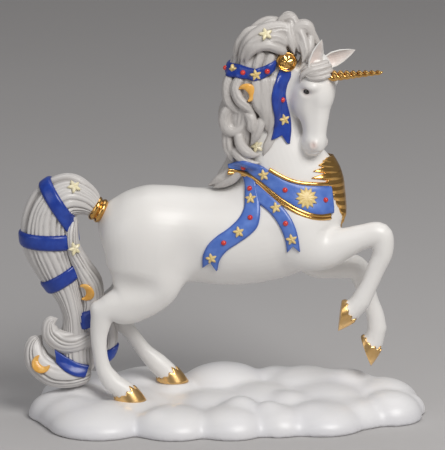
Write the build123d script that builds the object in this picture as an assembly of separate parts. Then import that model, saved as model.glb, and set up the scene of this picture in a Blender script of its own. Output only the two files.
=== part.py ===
from build123d import *

import os
from math import asin, cos, pi, radians, sin

import numpy as np

# Porcelain unicorn figurine, prancing on a cloud base, with gilt and enamelled ribbons.
#
# Millimetres, +Z up. The origin is the middle of the cloud's flat underside, and the unicorn
# faces +X, so its right side is at -Y. Each casting is a loft through oval rings, and the
# castings are cut to meet face to face, as they are luted together before firing.

# Cloud base: a hollow casting with a flat floor and a pour hole
core_length = 156.0
core_depth = 70.0
core_height = 8.0
core_inset = 11.0  # from the core's rim in to its hollow
core_hollow_height = 3.0
base_wall = 3.5
pour_hole_diameter = 14.0
pour_hole_forward = 30.0  # from the middle of the underside
lump_waist = 0.16  # height of a lump's widest girth, as a share of its height
hoof_seat_depth = 0.8  # how deep a standing hoof is bedded in the cloud
hoof_mound_margin = 7.0  # cloud left round a standing hoof
tail_mound_radius = 17.0

# Body: hollow castings of one wall thickness
body_wall = 3.0
firing_vent_diameter = 3.0
neck_vent_diameter = 4.0

# Head: turned to the right, with the muzzle tucked down
head_turn = 38.0
head_swing = 0.13  # how far the muzzle swings to the right for each millimetre down
head_swing_start = 8.0  # below the poll
poll = Vector(44.5, -7.0, 188.5)
ear_length = 14.0
ear_half_width = 3.3
ear_thickness = 1.9
ear_spacing = 13.2
ear_drop = 6.2  # below the poll
horn_length = 30.0
horn_root_radius = 3.2
horn_tip_radius = 0.6
horn_twist_turns = 4.5
horn_drop = 11.0
horn_rise = 0.12  # how far the horn climbs for each millimetre forward
eye_drop = 18.2
eye_radius = 1.7

# Hooves
hoof_height = 7.0
sole_half_length = 7.3
sole_half_width = 6.2
coronet_half_length = 5.3
coronet_half_width = 5.0

# Ribbons and ornaments
ribbon_thickness = 1.2
trim_thickness = 2.0
trim_width = 2.2
breast_plate_thickness = 1.5
tail_band_thickness = 1.1
tail_band_width = 7.2
star_radius = 3.1
star_relief = 0.9
pale_star_radius = 4.0
jewel_radius = 1.5
sun_radius = 5.6
sun_relief = 1.2
moon_radius = 5.2
moon_relief = 0.9
medallion_radius = 5.0
medallion_height = 2.4
medallion_dish_depth = 0.9
medallion_rim = 1.0
tail_ring_radius = 5.4
tail_ring_bead = 1.9
tail_ring_beads = 3

luting = 0.4  # slip between a ribbon or ornament and the surface that carries it
trim_gap = 0.7  # between a ribbon's edge and the trim beside it
bridle_width = 5.6
streamer_notch = 2.6
ribbon_samples = 5
plate_samples = 9
ring_points = 10
ring_spacing = 6.0
facet = 0.03  # how closely the facets that straight lines are traced to follow a surface
lobe_points = 12
through = 60.0  # half the depth of a cutter that passes right through the figure

right, left = -1, 1
across = Vector(0, 1, 0)
turn = radians(head_turn)
face_forward = Vector(cos(turn), -sin(turn), 0)
face_side = Vector(sin(turn), cos(turn), 0)

# Castings as rings: x, y, z of the ring's middle, half width across, half depth
torso_rings = [
    (-60.5, 0, 92, 5, 7),
    (-57, 0, 93, 11, 14),
    (-50, 0, 93.5, 16.5, 20),
    (-40, 0, 93.5, 20, 24),
    (-28, 0, 93.5, 21.5, 24.5),
    (-14, 0, 93, 21.5, 23.8),
    (2, 0, 92.5, 22, 24.8),
    (18, 0, 94, 21.5, 25),
    (34, 0, 97, 19.5, 23),
    (46, 0, 100, 16, 18.5),
    (55, 0, 103, 10.5, 12.5),
    (58.5, 0, 105, 5, 6),
]
neck_rings = [
    (34, 0, 104, 16.5, 24),
    (33.5, 0, 118, 15.5, 25.5),
    (29.5, -0.5, 131, 13.5, 21.5),
    (25, -1, 146, 11.5, 16.5),
    (23.5, -2, 160, 10.5, 13.5),
    (27, -3.5, 173, 10, 12),
    (36, -5, 182, 8.5, 10),
]
# The head below the poll: drop, reach of the face in front, reach of the jaw behind, half width
head_levels = [
    (0.5, 3, 6, 4.5),
    (6, 9, 8.5, 8),
    (13, 11.8, 10, 9.6),
    (19.5, 12.4, 11, 10.2),
    (27, 10.8, 9.8, 8.4),
    (34, 9, 6, 6.5),
    (41, 7.8, 4.6, 5.6),
    (47, 7.6, 5.2, 6),
    (51.5, 5.4, 4.8, 5),
    (54.8, 2.2, 3, 2.6),
]
right_hind_rings = [
    (-36, -9.5, 97, 11, 22),
    (-37, -11.5, 84, 11, 20.5),
    (-40, -12.5, 71, 9.5, 18),
    (-48, -13, 61, 7.2, 11.5),
    (-59, -13.5, 56, 5.2, 7),
    (-61.5, -13.5, 47.5, 4.2, 5.2),
    (-61.5, -13.5, 37, 3.8, 4.2),
    (-59, -13.5, 26, 4, 4.3),
    (-55, -13.5, 20, 4.8, 5),
]
left_hind_rings = [
    (-34, 9.5, 97, 11, 21),
    (-35, 11.5, 84, 11, 19.5),
    (-38, 12.5, 71, 9.5, 16),
    (-46, 13, 61, 7, 10.5),
    (-53.5, 13, 54.5, 5.2, 7),
    (-51, 13, 45.5, 4.3, 5.4),
    (-45, 13, 37, 4, 4.4),
    (-38.5, 13, 28.5, 4.2, 4.5),
    (-33, 13, 23, 4.8, 5.2),
]
right_fore_rings = [
    (36, -10, 101, 9, 16),
    (42, -12.5, 91, 9, 13.5),
    (50, -13, 88.5, 7.6, 10.5),
    (60, -13, 91.5, 6.6, 8),
    (70, -13, 95, 5.6, 6.4),
    (78.5, -13, 96, 5.4, 6.2),
    (80, -13, 88, 4.9, 5.2),
    (76.5, -13, 78.5, 4.3, 4.6),
    (72.5, -13, 69, 4.4, 4.4),
    (69, -13, 62, 4.9, 5),
]
left_fore_rings = [
    (36, 9.5, 99.5, 9, 15),
    (41.5, 12, 85.5, 8.5, 12.5),
    (48, 12.5, 77, 7.2, 9.5),
    (58, 12.5, 74, 6, 6.8),
    (67.5, 12.5, 72.5, 5.4, 6),
    (71, 12.5, 65, 4.8, 5),
    (74, 12.5, 56, 4.2, 4.4),
    (77, 12.5, 47.5, 4.4, 4.5),
    (77.8, 12.5, 41, 4.9, 5),
]
# Each leg's rings, the middle of its coronet, which way the hoof points and which way its sole faces
legs = {
    "right_hind": (right_hind_rings, Vector(-50, -13.5, 16.5), Vector(0.6, 0, -0.8), Vector(0, 0, -1)),
    "left_hind": (left_hind_rings, Vector(-29, 13, 19.2), Vector(0.6, 0, -0.8), Vector(0, 0, -1)),
    "right_fore": (right_fore_rings, Vector(65, -13, 57.5), Vector(-0.9, 0, -0.44), Vector(-0.99, 0, 0.12)),
    "left_fore": (left_fore_rings, Vector(76.2, 12.5, 35), Vector(-0.55, 0, -0.83), Vector(-0.94, 0, -0.34)),
}
mane_rings = [
    (33, -3, 204.5, 4.5, 4),
    (28, -3, 198.5, 9, 13),
    (22, -3, 188, 12, 16),
    (15.5, -3, 175, 13.5, 13.5),
    (12.5, -3, 162, 13.5, 12.5),
    (10, -2.5, 149.5, 12.5, 11.5),
    (10, -2, 139, 11, 9),
    (7, -1, 129.5, 8.5, 6.5),
    (0, 0, 121.5, 6, 4.5),
    (-7.5, 0, 117.5, 4, 2.2),
]
# Locks that stand out of the mane
mane_locks = {
    "mane_peak_lock": [
        (41, -5, 190, 3, 3.5), (36, -6, 199, 4, 5.5), (31.5, -4, 205, 3.5, 4.5), (25, -5, 203, 3.5, 4),
        (18, -6.5, 196, 2.5, 3),
    ],
    "mane_poll_roll": [
        (50, -9, 189.5, 2, 2.4), (45, -9.5, 194.5, 3, 3.4), (40, -8.5, 199.5, 3.4, 4), (36, -7, 199, 2.4, 2.8),
    ],
    "mane_brow_wave": [
        (29.5, -11, 194, 3, 3), (21.5, -11.5, 198.5, 4, 4), (14.5, -10.5, 199, 4, 4.5), (9, -8, 191.5, 3, 3),
    ],
    "mane_rear_lock": [
        (7, -9, 170.5, 2.6, 3), (3.2, -9.5, 166, 3.8, 4.2), (2, -10, 159, 3.8, 4.2), (4, -10, 150, 2.6, 3),
    ],
    "mane_scroll_lock": [
        (12.5, -15.1, 163.5, 3, 3), (7, -14.8, 157.5, 3.8, 4.2), (4.8, -13.6, 151, 4, 4.4), (5.2, -13.2, 144.5, 2.8, 3),
    ],
    "mane_side_lock": [
        (21, -13.5, 172, 3, 3.4), (18, -15, 163, 3.8, 4.6), (17.5, -14.5, 153, 3.4, 4), (13, -13.5, 145, 2.6, 3),
    ],
    "mane_lower_lock": [
        (22, -13, 156, 2.6, 3), (18, -15, 149.5, 3.2, 3.8), (11, -15, 145, 3, 3.6), (4, -12, 142.5, 2.2, 2.6),
    ],
    "mane_far_upper_lock": [
        (22, 8.5, 172, 3, 3.2), (17.5, 10.5, 167, 4, 4.6), (13, 11.3, 160, 4, 4.6), (14.5, 10.5, 152, 2.8, 3.2),
    ],
    "mane_far_lower_lock": [
        (6.5, 9.5, 165, 3, 3.4), (3.5, 9.5, 157, 3.8, 4.4), (6, 9.8, 148.5, 3, 3.6), (4, 7.8, 142, 2, 2.4),
    ],
}
right_ear_way = Vector(4, -0.7, 12)
left_ear_way = Vector(13, 3, 6)
forelock_rings = [
    (50, -10, 185.5, 2.2, 3), (44.5, -15, 183, 2.8, 4), (39.5, -17, 179.5, 2.8, 4), (36.5, -16.5, 173.5, 1.6, 2),
]
tail_dock = Vector(-60.8, 0, 105.2)
tail_dock_axis = Vector(-0.89, 0, 0.45)
tail_rings = [
    (-64.5, 0, 107, 4.6, 4.6),
    (-69.5, 0, 111, 8, 9),
    (-76, 0, 112.5, 11, 12),
    (-83.5, 0, 108, 12, 13),
    (-86.5, 0, 99.5, 12, 14),
    (-86, 0, 89, 12, 14.2),
    (-83, 0, 79, 11, 12.4),
    (-79, 0, 68.5, 9.5, 9.6),
    (-76, 0, 59.3, 8, 7),
    (-74, 0, 50, 7, 5.6),
    (-71.5, 0.5, 41, 7, 6.2),
    (-69.5, 1, 32.5, 7.6, 7.2),
    (-69.5, 1, 24.5, 7.2, 7),
    (-70, 1, 17.5, 4.6, 4.8),
]
tail_locks = {
    "tail_side_lock": [
        (-72, 2, 88, 4, 3), (-67.5, 2, 77, 6, 5.5), (-64, 1.5, 67, 7, 7), (-64, 1, 57, 6.5, 5.8),
        (-66.5, 1, 49, 4.5, 4),
    ],
    "tail_upper_curl": [
        (-65.5, -3, 41.5, 4.5, 4.5), (-74, -5, 38.5, 5.5, 5.8), (-81.5, -5.5, 39.5, 5, 5.6), (-86.3, -5, 44, 4, 4.6),
        (-86, -4.5, 49, 2.8, 3.2), (-82.5, -4, 50.8, 1.4, 1.6),
    ],
    "tail_lower_curl": [
        (-66, -3, 22.5, 5, 4.5), (-76, -4.5, 21.5, 7, 6.4), (-86.5, -4, 23.5, 7.4, 7.2), (-93, -3, 29.5, 6.2, 6.6),
        (-93.8, -2, 37, 4, 4.6), (-90.5, -1.5, 41.8, 1.6, 1.8),
    ],
    "tail_inner_lock": [
        (-69, 4, 45, 3.5, 3), (-62, 6, 48, 4.2, 3.8), (-56, 6.5, 45, 4.4, 4.2), (-53.8, 6, 37, 4.2, 4.2),
        (-57, 5, 27.5, 3.6, 3.6), (-62.5, 3.5, 21, 2, 2),
    ],
}
# Blue bands: the lock each goes round, a point on it, its lean in degrees and the reach of its cutter
tail_bands = {
    "tail_band_top": ("tail_main", Vector(-80.5, 0, 107.5), 57, 40),
    "tail_band_middle": ("tail_main", Vector(-86, 0, 90.5), -3, 38),
    "tail_band_lower": ("tail_main", Vector(-80, 0, 71.5), -32, 36),
    "tail_band_side": ("tail_side_lock", Vector(-66, 1, 52.5), 0, 20),
    "tail_band_foot": ("tail_main", Vector(-70.5, 1, 31), 28, 26),
    "tail_band_inner": ("tail_inner_lock", Vector(-56.3, 5, 30), 18, 16),
}
# Cloud lumps round the rim and over the top: x, y, radius, height
cloud_lumps = [
    (-82, -5, 15, 13), (-62, -27, 25, 12.5), (-74, -16, 17, 13), (-24, -33, 20, 12.5), (-33, -37, 10, 11.5),
    (4, -34, 18, 13), (9, -25, 12, 16), (28, -31, 15, 12.5), (23, -29, 10, 14.5), (50, -24, 21, 12.5),
    (44, -27, 12, 12.5), (84, -9, 16, 14), (93, 2, 9, 10), (68, -16, 14, 11.5), (-66, 22, 26, 14.5),
    (-38, 27, 24, 16), (1, 26, 25, 19), (27, 31, 16, 16), (42, 22, 24, 18), (62, 21, 20, 17),
    (80, 12, 19, 15), (20, 0, 24, 15), (52, 0, 24, 15), (-6, -8, 20, 13.5), (-45, 2, 24, 11.8), (33, -12, 14, 15),
]
# Ribbons as pairs of edge points in the side view: x and z of one edge, x and z of the other
collar_edges = [
    (14.5, 133.4, 14.8, 125.9), (17.5, 132.2, 17.4, 124.3), (21, 130.4, 20.2, 122.4),
    (25.5, 127.6, 23, 120.3), (31, 124.6, 28, 116.5), (37, 122.7, 34.5, 112.6), (43, 121.8, 41, 109.3),
    (47.5, 121.3, 46.5, 107.5), (51.5, 121, 51, 107),
]
rear_streamer_edges = [
    (11.2, 122, 17.2, 119.5), (11.2, 116, 18.5, 113.5), (10.5, 110, 18.6, 107), (8, 106, 17.5, 102.5),
    (3, 101.5, 14, 98.5), (-3, 97.4, 8, 94.2), (-7.5, 92.8, 2, 90), (-9.6, 88, -1, 86), (-10, 80, -2.6, 79.5),
]
front_streamer_edges = [
    (20.5, 114.5, 25.8, 115.5), (22.5, 110.5, 29.5, 112.5), (26, 106.8, 33, 108.8), (29, 102, 35.8, 104),
    (31, 97, 37.4, 98.5), (32.6, 90, 38.2, 90.5),
]
cheek_streamer_edges = [
    (27.6, 175.5, 33, 176.5), (25.8, 169, 32.6, 169.5), (25, 162, 32.6, 162), (25.2, 154, 33.2, 154),
    (24.8, 148, 33.4, 148), (24.4, 142.5, 33.4, 143.5),
]
# The chest plate down the front: z and how far it reaches round each side
breast_plate_levels = [(135, 3.5), (131, 7), (127, 8), (122.5, 9), (118, 8), (112, 7), (106, 6), (101, 4.2)]
# The bridle round the back of the mane: degrees round the mane and height of its middle
bridle_path = [
    (-52, 184.3), (-66, 182), (-80, 179.6), (-95, 178.5), (-112, 179), (-132, 179.8), (-156, 179.5), (-180, 179.2),
    (-204, 179.5), (-228, 179.8), (-248, 179), (-265, 178.5), (-280, 179.6), (-294, 182), (-308, 184.3),
]
mane_axis = Vector(17, -3, 0)
# Ornaments in the side view, x and z
ribbon_stars = {
    "collar": [(20.5, 127)],
    "rear_streamers": [(14.4, 114.8), (7.8, 99.6), (-5.3, 86.5)],
    "front_streamers": [(26.5, 111), (34.4, 96)],
    "cheek_streamers": [(29.3, 149.5)],
}
ribbon_jewels = {
    "mane": [(10.2, 131.2)],
    "collar": [(31, 119.5), (48.6, 114)],
    "rear_streamers": [(14.2, 119.5), (13.6, 106.5), (0.7, 94.5)],
    "front_streamers": [(31.5, 104)],
    "cheek_streamers": [(29, 160.5)],
}
bridle_stars = [(-92, 178.5), (-150, 179.6), (-210, 179.6), (-268, 178.5)]
bridle_jewels = [(-70, 181.3), (-120, 179.3), (-180, 179.2), (-240, 179.3), (-290, 181.3)]
sun_place = (41.2, 115.5)
pale_stars = {
    "mane_stars": {"mane": [(26, 192.5), (12.5, 139.5)]},
    "tail_stars": {"tail_main": [(-74, 118.5), (-78, 79.5)]},
}
moons = {
    "mane_moon": {"mane": (11, 171, 40)},
    "tail_moons": {"tail_side_lock": (-64, 63, 0), "tail_lower_curl": (-87, 24, -60)},
}
medallion_place = (32.3, 182.5)
horn_reach = 11.2  # from the poll forward to the brow where the horn stands
horn_bed = 4.0  # how far the horn reaches into the brow before it is cut to it
eye_reach = 3.4  # from the poll forward to the eyes
ear_reach = 4.4


def oval(middle, along, side, half_width, half_depth):
    """A closed smooth ring square to along, with its width laid along side."""
    along = along.normalized()
    wide = (side - along * side.dot(along)).normalized()
    deep = along.cross(wide)
    turns = [2 * pi * i / ring_points for i in range(ring_points)]
    points = [middle + wide * (half_width * cos(t)) + deep * (half_depth * sin(t)) for t in turns]
    return Wire(Spline(points, periodic=True))


def headings(middles):
    """The direction of travel at each ring, from its neighbours."""
    last = len(middles) - 1
    return [middles[min(i + 1, last)] - middles[max(i - 1, 0)] for i in range(last + 1)]


def evened(rings):
    """Rings at even steps along a smooth path through the given rings."""
    table = np.array(rings, dtype=float)
    steps = np.linalg.norm(np.diff(table[:, :3], axis=0), axis=1)
    marks = np.concatenate([[0.0], np.cumsum(steps)])
    slopes = np.gradient(table, marks, axis=0)
    count = max(5, round(marks[-1] / ring_spacing))
    at = np.linspace(0, marks[-1], count + 1)
    i = np.clip(np.searchsorted(marks, at) - 1, 0, len(rings) - 2)
    span = (marks[i + 1] - marks[i])[:, None]
    t = (at[:, None] - marks[i][:, None]) / span
    start = (2 * t ** 3 - 3 * t ** 2 + 1) * table[i] + (t ** 3 - 2 * t ** 2 + t) * span * slopes[i]
    end = (3 * t ** 2 - 2 * t ** 3) * table[i + 1] + (t ** 3 - t ** 2) * span * slopes[i + 1]
    return (start + end).tolist()


def casting(rings, side=across, grow=0.0, foot=None):
    """A solid lofted through rings of (x, y, z, half width, half depth), grown or shrunk all round.

    A foot is one more ring at the end: its middle, the way it faces, half width and half depth.
    """
    rings = evened(rings)
    middles = [Vector(*r[:3]) for r in rings]
    ways = headings(middles)
    wires = [oval(m, way, side, r[3] + grow, r[4] + grow) for m, way, r in zip(middles, ways, rings)]
    if foot:
        wires.append(oval(foot[0], foot[1], side, foot[2] + grow, foot[3] + grow))
    return Solid.make_loft(wires)


def prism(outline, near=-through, far=through):
    """A closed smooth or cornered outline in the side view, carried across the figure."""
    face = make_face(Plane.XZ * Polyline(*outline, close=True))
    return extrude(face.moved(Location((0, near, 0))), far - near, dir=(0, 1, 0))


def largest(shape):
    """The largest solid of a shape, without the crumbs that a cut may leave."""
    return max(shape.solids(), key=lambda s: s.volume)


def facets(shape):
    """A shape's surface as triangles: one corner, two edges and the outward normal of each."""
    points, triangles = shape.tessellate(facet)
    corners = np.array([tuple(point) for point in points])[np.array(triangles)]
    first, second = corners[:, 1] - corners[:, 0], corners[:, 2] - corners[:, 0]
    normals = np.cross(first, second)
    sizes = np.linalg.norm(normals, axis=1)
    real = sizes > 1e-9
    return corners[real, 0], first[real], second[real], normals[real] / sizes[real, None]


def landing(carriers, start, way):
    """The plane, facing back along the way, where a straight line first meets the carriers' facets."""
    origin, ray = np.array(tuple(start)), np.array(tuple(way))
    best = None
    for corner, first, second, normal in carriers:
        cross = np.cross(ray, second)
        facing = np.einsum("ij,ij->i", first, cross)
        facing[np.abs(facing) < 1e-9] = np.nan
        offset = origin - corner
        u = np.einsum("ij,ij->i", offset, cross) / facing
        turned = np.cross(offset, first)
        v = turned @ ray / facing
        reach = np.einsum("ij,ij->i", second, turned) / facing
        hit = (u > -1e-6) & (v > -1e-6) & (u + v < 1 + 1e-6) & (reach > 0)
        if hit.any():
            k = np.flatnonzero(hit)[np.argmin(reach[hit])]
            if best is None or reach[k] < best[0]:
                best = (reach[k], normal[k])
    normal = Vector(*best[1])
    if normal.dot(way) > 0:
        normal = normal * -1
    return Plane(start + way * best[0], x_dir=normal.cross(Vector(0, 0, 1)) * -1, z_dir=normal)


def seat(carriers, place, side=right):
    """The plane on the outermost surface at a place in the side view, seen from one side."""
    return landing(carriers, Vector(place[0], side * through, place[1]), Vector(0, -side, 0))


def star_sketch(radius, points=5, inner=0.48):
    corners = []
    for i in range(2 * points):
        reach = radius if i % 2 == 0 else radius * inner
        angle = pi / 2 + pi * i / points
        corners.append((reach * cos(angle), reach * sin(angle)))
    return make_face(Polyline(*corners, close=True))


def moon_sketch(radius, lean):
    bite = Pos(radius * 0.45, 0) * Circle(radius * 0.8)
    return Rot(0, 0, lean) * (Circle(radius) - bite)


def medallion(plane):
    """A round gilt boss with a rimmed dish."""
    boss = Pos(0, 0, medallion_height / 2) * Cylinder(medallion_radius, medallion_height)
    dish = Cylinder(medallion_radius - medallion_rim, 2 * medallion_dish_depth)
    return plane * (boss - Pos(0, 0, medallion_height) * dish)


def dome(plane, radius):
    """Half a ball, flat side on the plane."""
    ball = Sphere(radius)
    return plane * (ball & Pos(0, 0, radius) * Box(3 * radius, 3 * radius, 2 * radius))


def raised(sketch, plane, relief):
    """A flat ornament standing on a plane."""
    return extrude(plane * sketch, relief)


def horn():
    """A tapered horn of two twisted strands, starting inside the brow that it is cut to."""
    root = poll - Vector(0, 0, horn_drop) + face_forward * (horn_reach - horn_bed)
    plane = Plane(root, z_dir=face_forward + Vector(0, 0, horn_rise))
    steps = int(horn_twist_turns * 8)
    total = horn_length + horn_bed
    wires = []
    for i in range(steps + 1):
        share = i / steps
        radius = horn_root_radius + (horn_tip_radius - horn_root_radius) * share
        twist = 2 * pi * horn_twist_turns * share
        points = []
        for k in range(lobe_points):
            angle = 2 * pi * k / lobe_points
            reach = radius * (0.84 + 0.16 * cos(2 * angle))
            point = Vector(reach * cos(angle + twist), reach * sin(angle + twist), total * share)
            points.append(plane.from_local_coords(point))
        wires.append(Wire(Spline(points, periodic=True)))
    return Solid.make_loft(wires)


def head_rings():
    """The head's rings, each set from the reach of the face and of the jaw."""
    rings = []
    for drop, face, jaw, half_width in head_levels:
        swing = head_swing * max(drop - head_swing_start, 0)
        middle = poll + face_forward * ((face - jaw) / 2) + Vector(0, right * swing, -drop)
        rings.append((middle.X, middle.Y, middle.Z, half_width, (face + jaw) / 2))
    return rings


def ear(root, along, half_width):
    """A leaf-shaped ear, hollowed on the side that faces forward."""
    profile = [(-0.15, 0.6), (0.12, 0.9), (0.4, 1.0), (0.72, 0.66), (1.0, 0.1)]
    rings = []
    for share, width in profile:
        middle = root + along * (ear_length * share)
        rings.append((*middle, half_width * width, ear_thickness * (0.35 + 0.65 * width)))
    bowl_place = root + along * (ear_length * 0.45) + face_forward * (ear_thickness + 2.2)
    return casting(rings, side=face_side) - Pos(*bowl_place) * Sphere(3.0)


def leg(name):
    """A leg casting, closed at the coronet by a ring that its hoof shares."""
    rings, coronet, pointing, _ = legs[name]
    return casting(rings, foot=(coronet, pointing, coronet_half_width, coronet_half_length))


def hoof(name):
    """A hoof flaring from the coronet to a flat sole."""
    _, coronet, pointing, sole_way = legs[name]
    sole = coronet + pointing.normalized() * hoof_height
    top = oval(coronet, pointing, across, coronet_half_width, coronet_half_length)
    bottom = oval(sole, sole_way, across, sole_half_width, sole_half_length)
    return Solid.make_loft([top, bottom], ruled=True)


def lump(x, y, radius, height):
    """A pillow of cloud: an oval dome, widest a little over the floor and cut flat there."""
    waist = height * lump_waist
    rise = height - waist
    low = -asin(waist / rise)
    turns = [low + (pi / 2 - low) * i / 6 for i in range(7)]
    arc = [(radius * cos(a), waist + rise * sin(a)) for a in turns]
    profile = make_face([
        Line((0, 0), arc[0]),
        Spline(arc, tangents=[(-radius * sin(low), rise * cos(low)), (-1, 0)]),
        Line(arc[-1], (0, 0)),
    ])
    return Pos(x, y, 0) * revolve(Plane.XZ * profile, Axis.Z)


def cloud():
    """The cloud base, with mounds under the hooves and the tail, hollow over a flat floor."""
    core = extrude(Ellipse(core_length / 2, core_depth / 2), core_height)
    mounds = []
    for name in ("right_hind", "left_hind"):
        sole = solids[name + "_hoof"].faces().sort_by(Axis.Z)[0].center()
        mounds.append((sole.X, sole.Y, sole_half_length + hoof_mound_margin, sole.Z + hoof_seat_depth))
    foot = solids["tail_lower_curl"].bounding_box()
    mounds.append((tail_rings[-1][0], tail_rings[-1][1], tail_mound_radius, foot.min.Z + hoof_seat_depth))
    shape = core.fuse(*[lump(*entry) for entry in cloud_lumps + mounds])
    hollow = Ellipse(core_length / 2 - core_inset, core_depth / 2 - core_inset)
    cavity = extrude(Pos(0, 0, base_wall) * hollow, core_hollow_height)
    pour_hole = Pos(pour_hole_forward, 0, 0) * Cylinder(pour_hole_diameter / 2, 2 * base_wall + 2)
    return shape - cavity - pour_hole


def tail_ring():
    """The gilt ring round the dock: round beads side by side over a bored sleeve."""
    plane = Plane(tail_dock, z_dir=tail_dock_axis)
    spacing = tail_ring_bead * 1.15
    span = spacing * (tail_ring_beads - 1)
    shape = Pos(0, 0, 0) * Cylinder(tail_ring_radius - tail_ring_bead / 2, span + tail_ring_bead)
    for i in range(tail_ring_beads):
        shape += Pos(0, 0, i * spacing - span / 2) * Torus(tail_ring_radius - tail_ring_bead / 2, tail_ring_bead)
    return plane * shape


def tail_band(name):
    """A band of even width round a lock, cut from a thicker copy of that lock."""
    lock, place, lean, reach = tail_bands[name]
    slab = Pos(*place) * Rot(0, lean, 0) * Box(reach, 2 * through, tail_band_width)
    rings = tail_rings if lock == "tail_main" else tail_locks[lock]
    return largest(casting(rings, grow=tail_band_thickness) & slab)


def ribbon(carriers, stations, thickness):
    """A ribbon of even thickness laid on the carriers, lofted through its stations.

    Each station is a list of straight lines across the ribbon, in one plane, each with a start and a way.
    """
    wires = []
    for station in stations:
        square = (station[-1][0] - station[0][0]).cross(station[0][1]).normalized()
        under = []
        over = []
        for start, way in station:
            plane = landing(carriers, start, way)
            out = (plane.z_dir - square * plane.z_dir.dot(square)).normalized()
            under.append(plane.origin + out * luting)
            over.append(plane.origin + out * (luting + thickness))
        wires.append(Wire.make_polygon(under + over[::-1], close=True))
    return Solid.make_loft(wires)


def side_lines(edges, side, first=0.0, last=1.0):
    """Lines along Y to a ribbon's stations, between two shares of its width."""
    stations = []
    for x0, z0, x1, z1 in edges:
        station = []
        for i in range(ribbon_samples):
            share = first + (last - first) * i / (ribbon_samples - 1)
            start = Vector(x0 + (x1 - x0) * share, side * through, z0 + (z1 - z0) * share)
            station.append((start, Vector(0, -side, 0)))
        stations.append(station)
    return stations


def trim_lines(edges, side, lower):
    """Lines along Y to a strip of the trim's width beside one edge of a ribbon."""
    beside = []
    for x0, z0, x1, z1 in edges:
        width = ((x1 - x0) ** 2 + (z1 - z0) ** 2) ** 0.5
        inner = (width + trim_gap) / width if lower else -trim_gap / width
        outer = (width + trim_gap + trim_width) / width if lower else -(trim_gap + trim_width) / width
        beside.append(side_lines([(x0, z0, x1, z1)], side, inner, outer)[0])
    return beside


def both_sides(carriers, edges, thickness):
    return Compound(children=[ribbon(carriers, side_lines(edges, side), thickness) for side in (right, left)])


def notched(shape, edges):
    """A streamer with a swallow tail cut in its lower end."""
    x0, z0, x1, z1 = edges[-1]
    reach = streamer_notch
    return shape.cut(prism([(x0 + 0.8, z0 - reach), ((x0 + x1) / 2, (z0 + z1) / 2 + reach), (x1 - 0.8, z1 - reach)]))


def bridle_line(angle, height):
    """A straight line from outside to the mane's axis, at an angle and a height."""
    out = Vector(cos(radians(angle)), sin(radians(angle)), 0)
    return mane_axis + out * through + Vector(0, 0, height), out * -1


def pieces(shape, share=0.15):
    """The solids of a shape, without crumbs far smaller than the largest."""
    found = shape.solids()
    least = share * max(s.volume for s in found)
    return [s for s in found if s.volume > least]


def add(name, shape, meets=""):
    """Hand in a piece, cut to the earlier pieces that it meets."""
    for other in meets.split():
        shape = shape - solids[other]
    kept = pieces(shape)
    parts[name] = kept[0] if len(kept) == 1 else Compound(children=kept)
    solids[name] = parts[name]


os.makedirs("parts", exist_ok=True)
parts = {}
solids = {}

# Torso, neck and head. The solid forms are kept as cutters, so nothing reaches into a hollow.
torso_hollow = casting(torso_rings[1:-1], grow=-body_wall)
neck_hollow = casting(neck_rings[:-2], grow=-body_wall)
belly = torso_rings[6]
belly_vent = Pos(belly[0], 0, belly[2] - belly[4]) * Cylinder(firing_vent_diameter / 2, 4 * body_wall)
neck_vent = Pos(*neck_rings[1][:3]) * Cylinder(neck_vent_diameter / 2, 6 * body_wall)
add("torso", casting(torso_rings))
add("neck", casting(neck_rings), "torso")
parts["torso"] = solids["torso"].cut(torso_hollow, belly_vent, neck_vent)
parts["neck"] = solids["neck"].cut(neck_hollow)
add("head", casting(head_rings(), side=face_side), "neck")

# Legs and hooves
for name in legs:
    add(name + "_leg", leg(name), "torso neck")
    add(name + "_hoof", hoof(name))

# Tail
add("tail_ring", tail_ring(), "torso")
add("tail_main", casting(tail_rings), "tail_ring")
add("tail_side_lock", casting(tail_locks["tail_side_lock"]), "tail_main")
add("tail_upper_curl", casting(tail_locks["tail_upper_curl"]), "tail_main tail_side_lock")
add("tail_lower_curl", casting(tail_locks["tail_lower_curl"]), "tail_main tail_upper_curl")
add(
    "tail_inner_lock",
    casting(tail_locks["tail_inner_lock"]),
    "tail_main tail_side_lock tail_upper_curl tail_lower_curl left_hind_leg",
)
add("tail_band_top", tail_band("tail_band_top"), "tail_main")
add("tail_band_middle", tail_band("tail_band_middle"), "tail_main tail_side_lock tail_band_top")
add("tail_band_lower", tail_band("tail_band_lower"), "tail_main tail_side_lock")
add("tail_band_side", tail_band("tail_band_side"), "tail_side_lock tail_main tail_inner_lock")
add("tail_band_foot", tail_band("tail_band_foot"), "tail_lower_curl tail_main tail_upper_curl tail_inner_lock")
add("tail_band_inner", tail_band("tail_band_inner"), "tail_inner_lock")

# Cloud
add("cloud_base", cloud(), "right_hind_hoof left_hind_hoof tail_main tail_lower_curl tail_inner_lock tail_band_foot")

# Mane and what is set on the head
add("mane", casting(mane_rings), "neck torso head")
for name, side, way in (("right_ear", right, right_ear_way), ("left_ear", left, left_ear_way)):
    root = poll + face_forward * ear_reach + face_side * (side * ear_spacing / 2) - Vector(0, 0, ear_drop)
    add(name, ear(root, way.normalized(), ear_half_width), "head")
add("forelock", casting(forelock_rings), "head right_ear")
add("horn", horn(), "head")
brow = poll + face_forward * eye_reach - Vector(0, 0, eye_drop)
beads = []
for side in (right, left):
    plane = landing([facets(solids["head"])], brow + face_side * (side * through), face_side * -side)
    beads.append(largest(plane * Sphere(eye_radius) - solids["head"]))
add("eyes", Compound(children=beads))
add("mane_peak_lock", casting(mane_locks["mane_peak_lock"]), "mane neck head")
add("mane_poll_roll", casting(mane_locks["mane_poll_roll"]), "mane head mane_peak_lock right_ear forelock")
add("mane_brow_wave", casting(mane_locks["mane_brow_wave"]), "mane neck mane_peak_lock")
add("mane_rear_lock", casting(mane_locks["mane_rear_lock"]), "mane")
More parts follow.
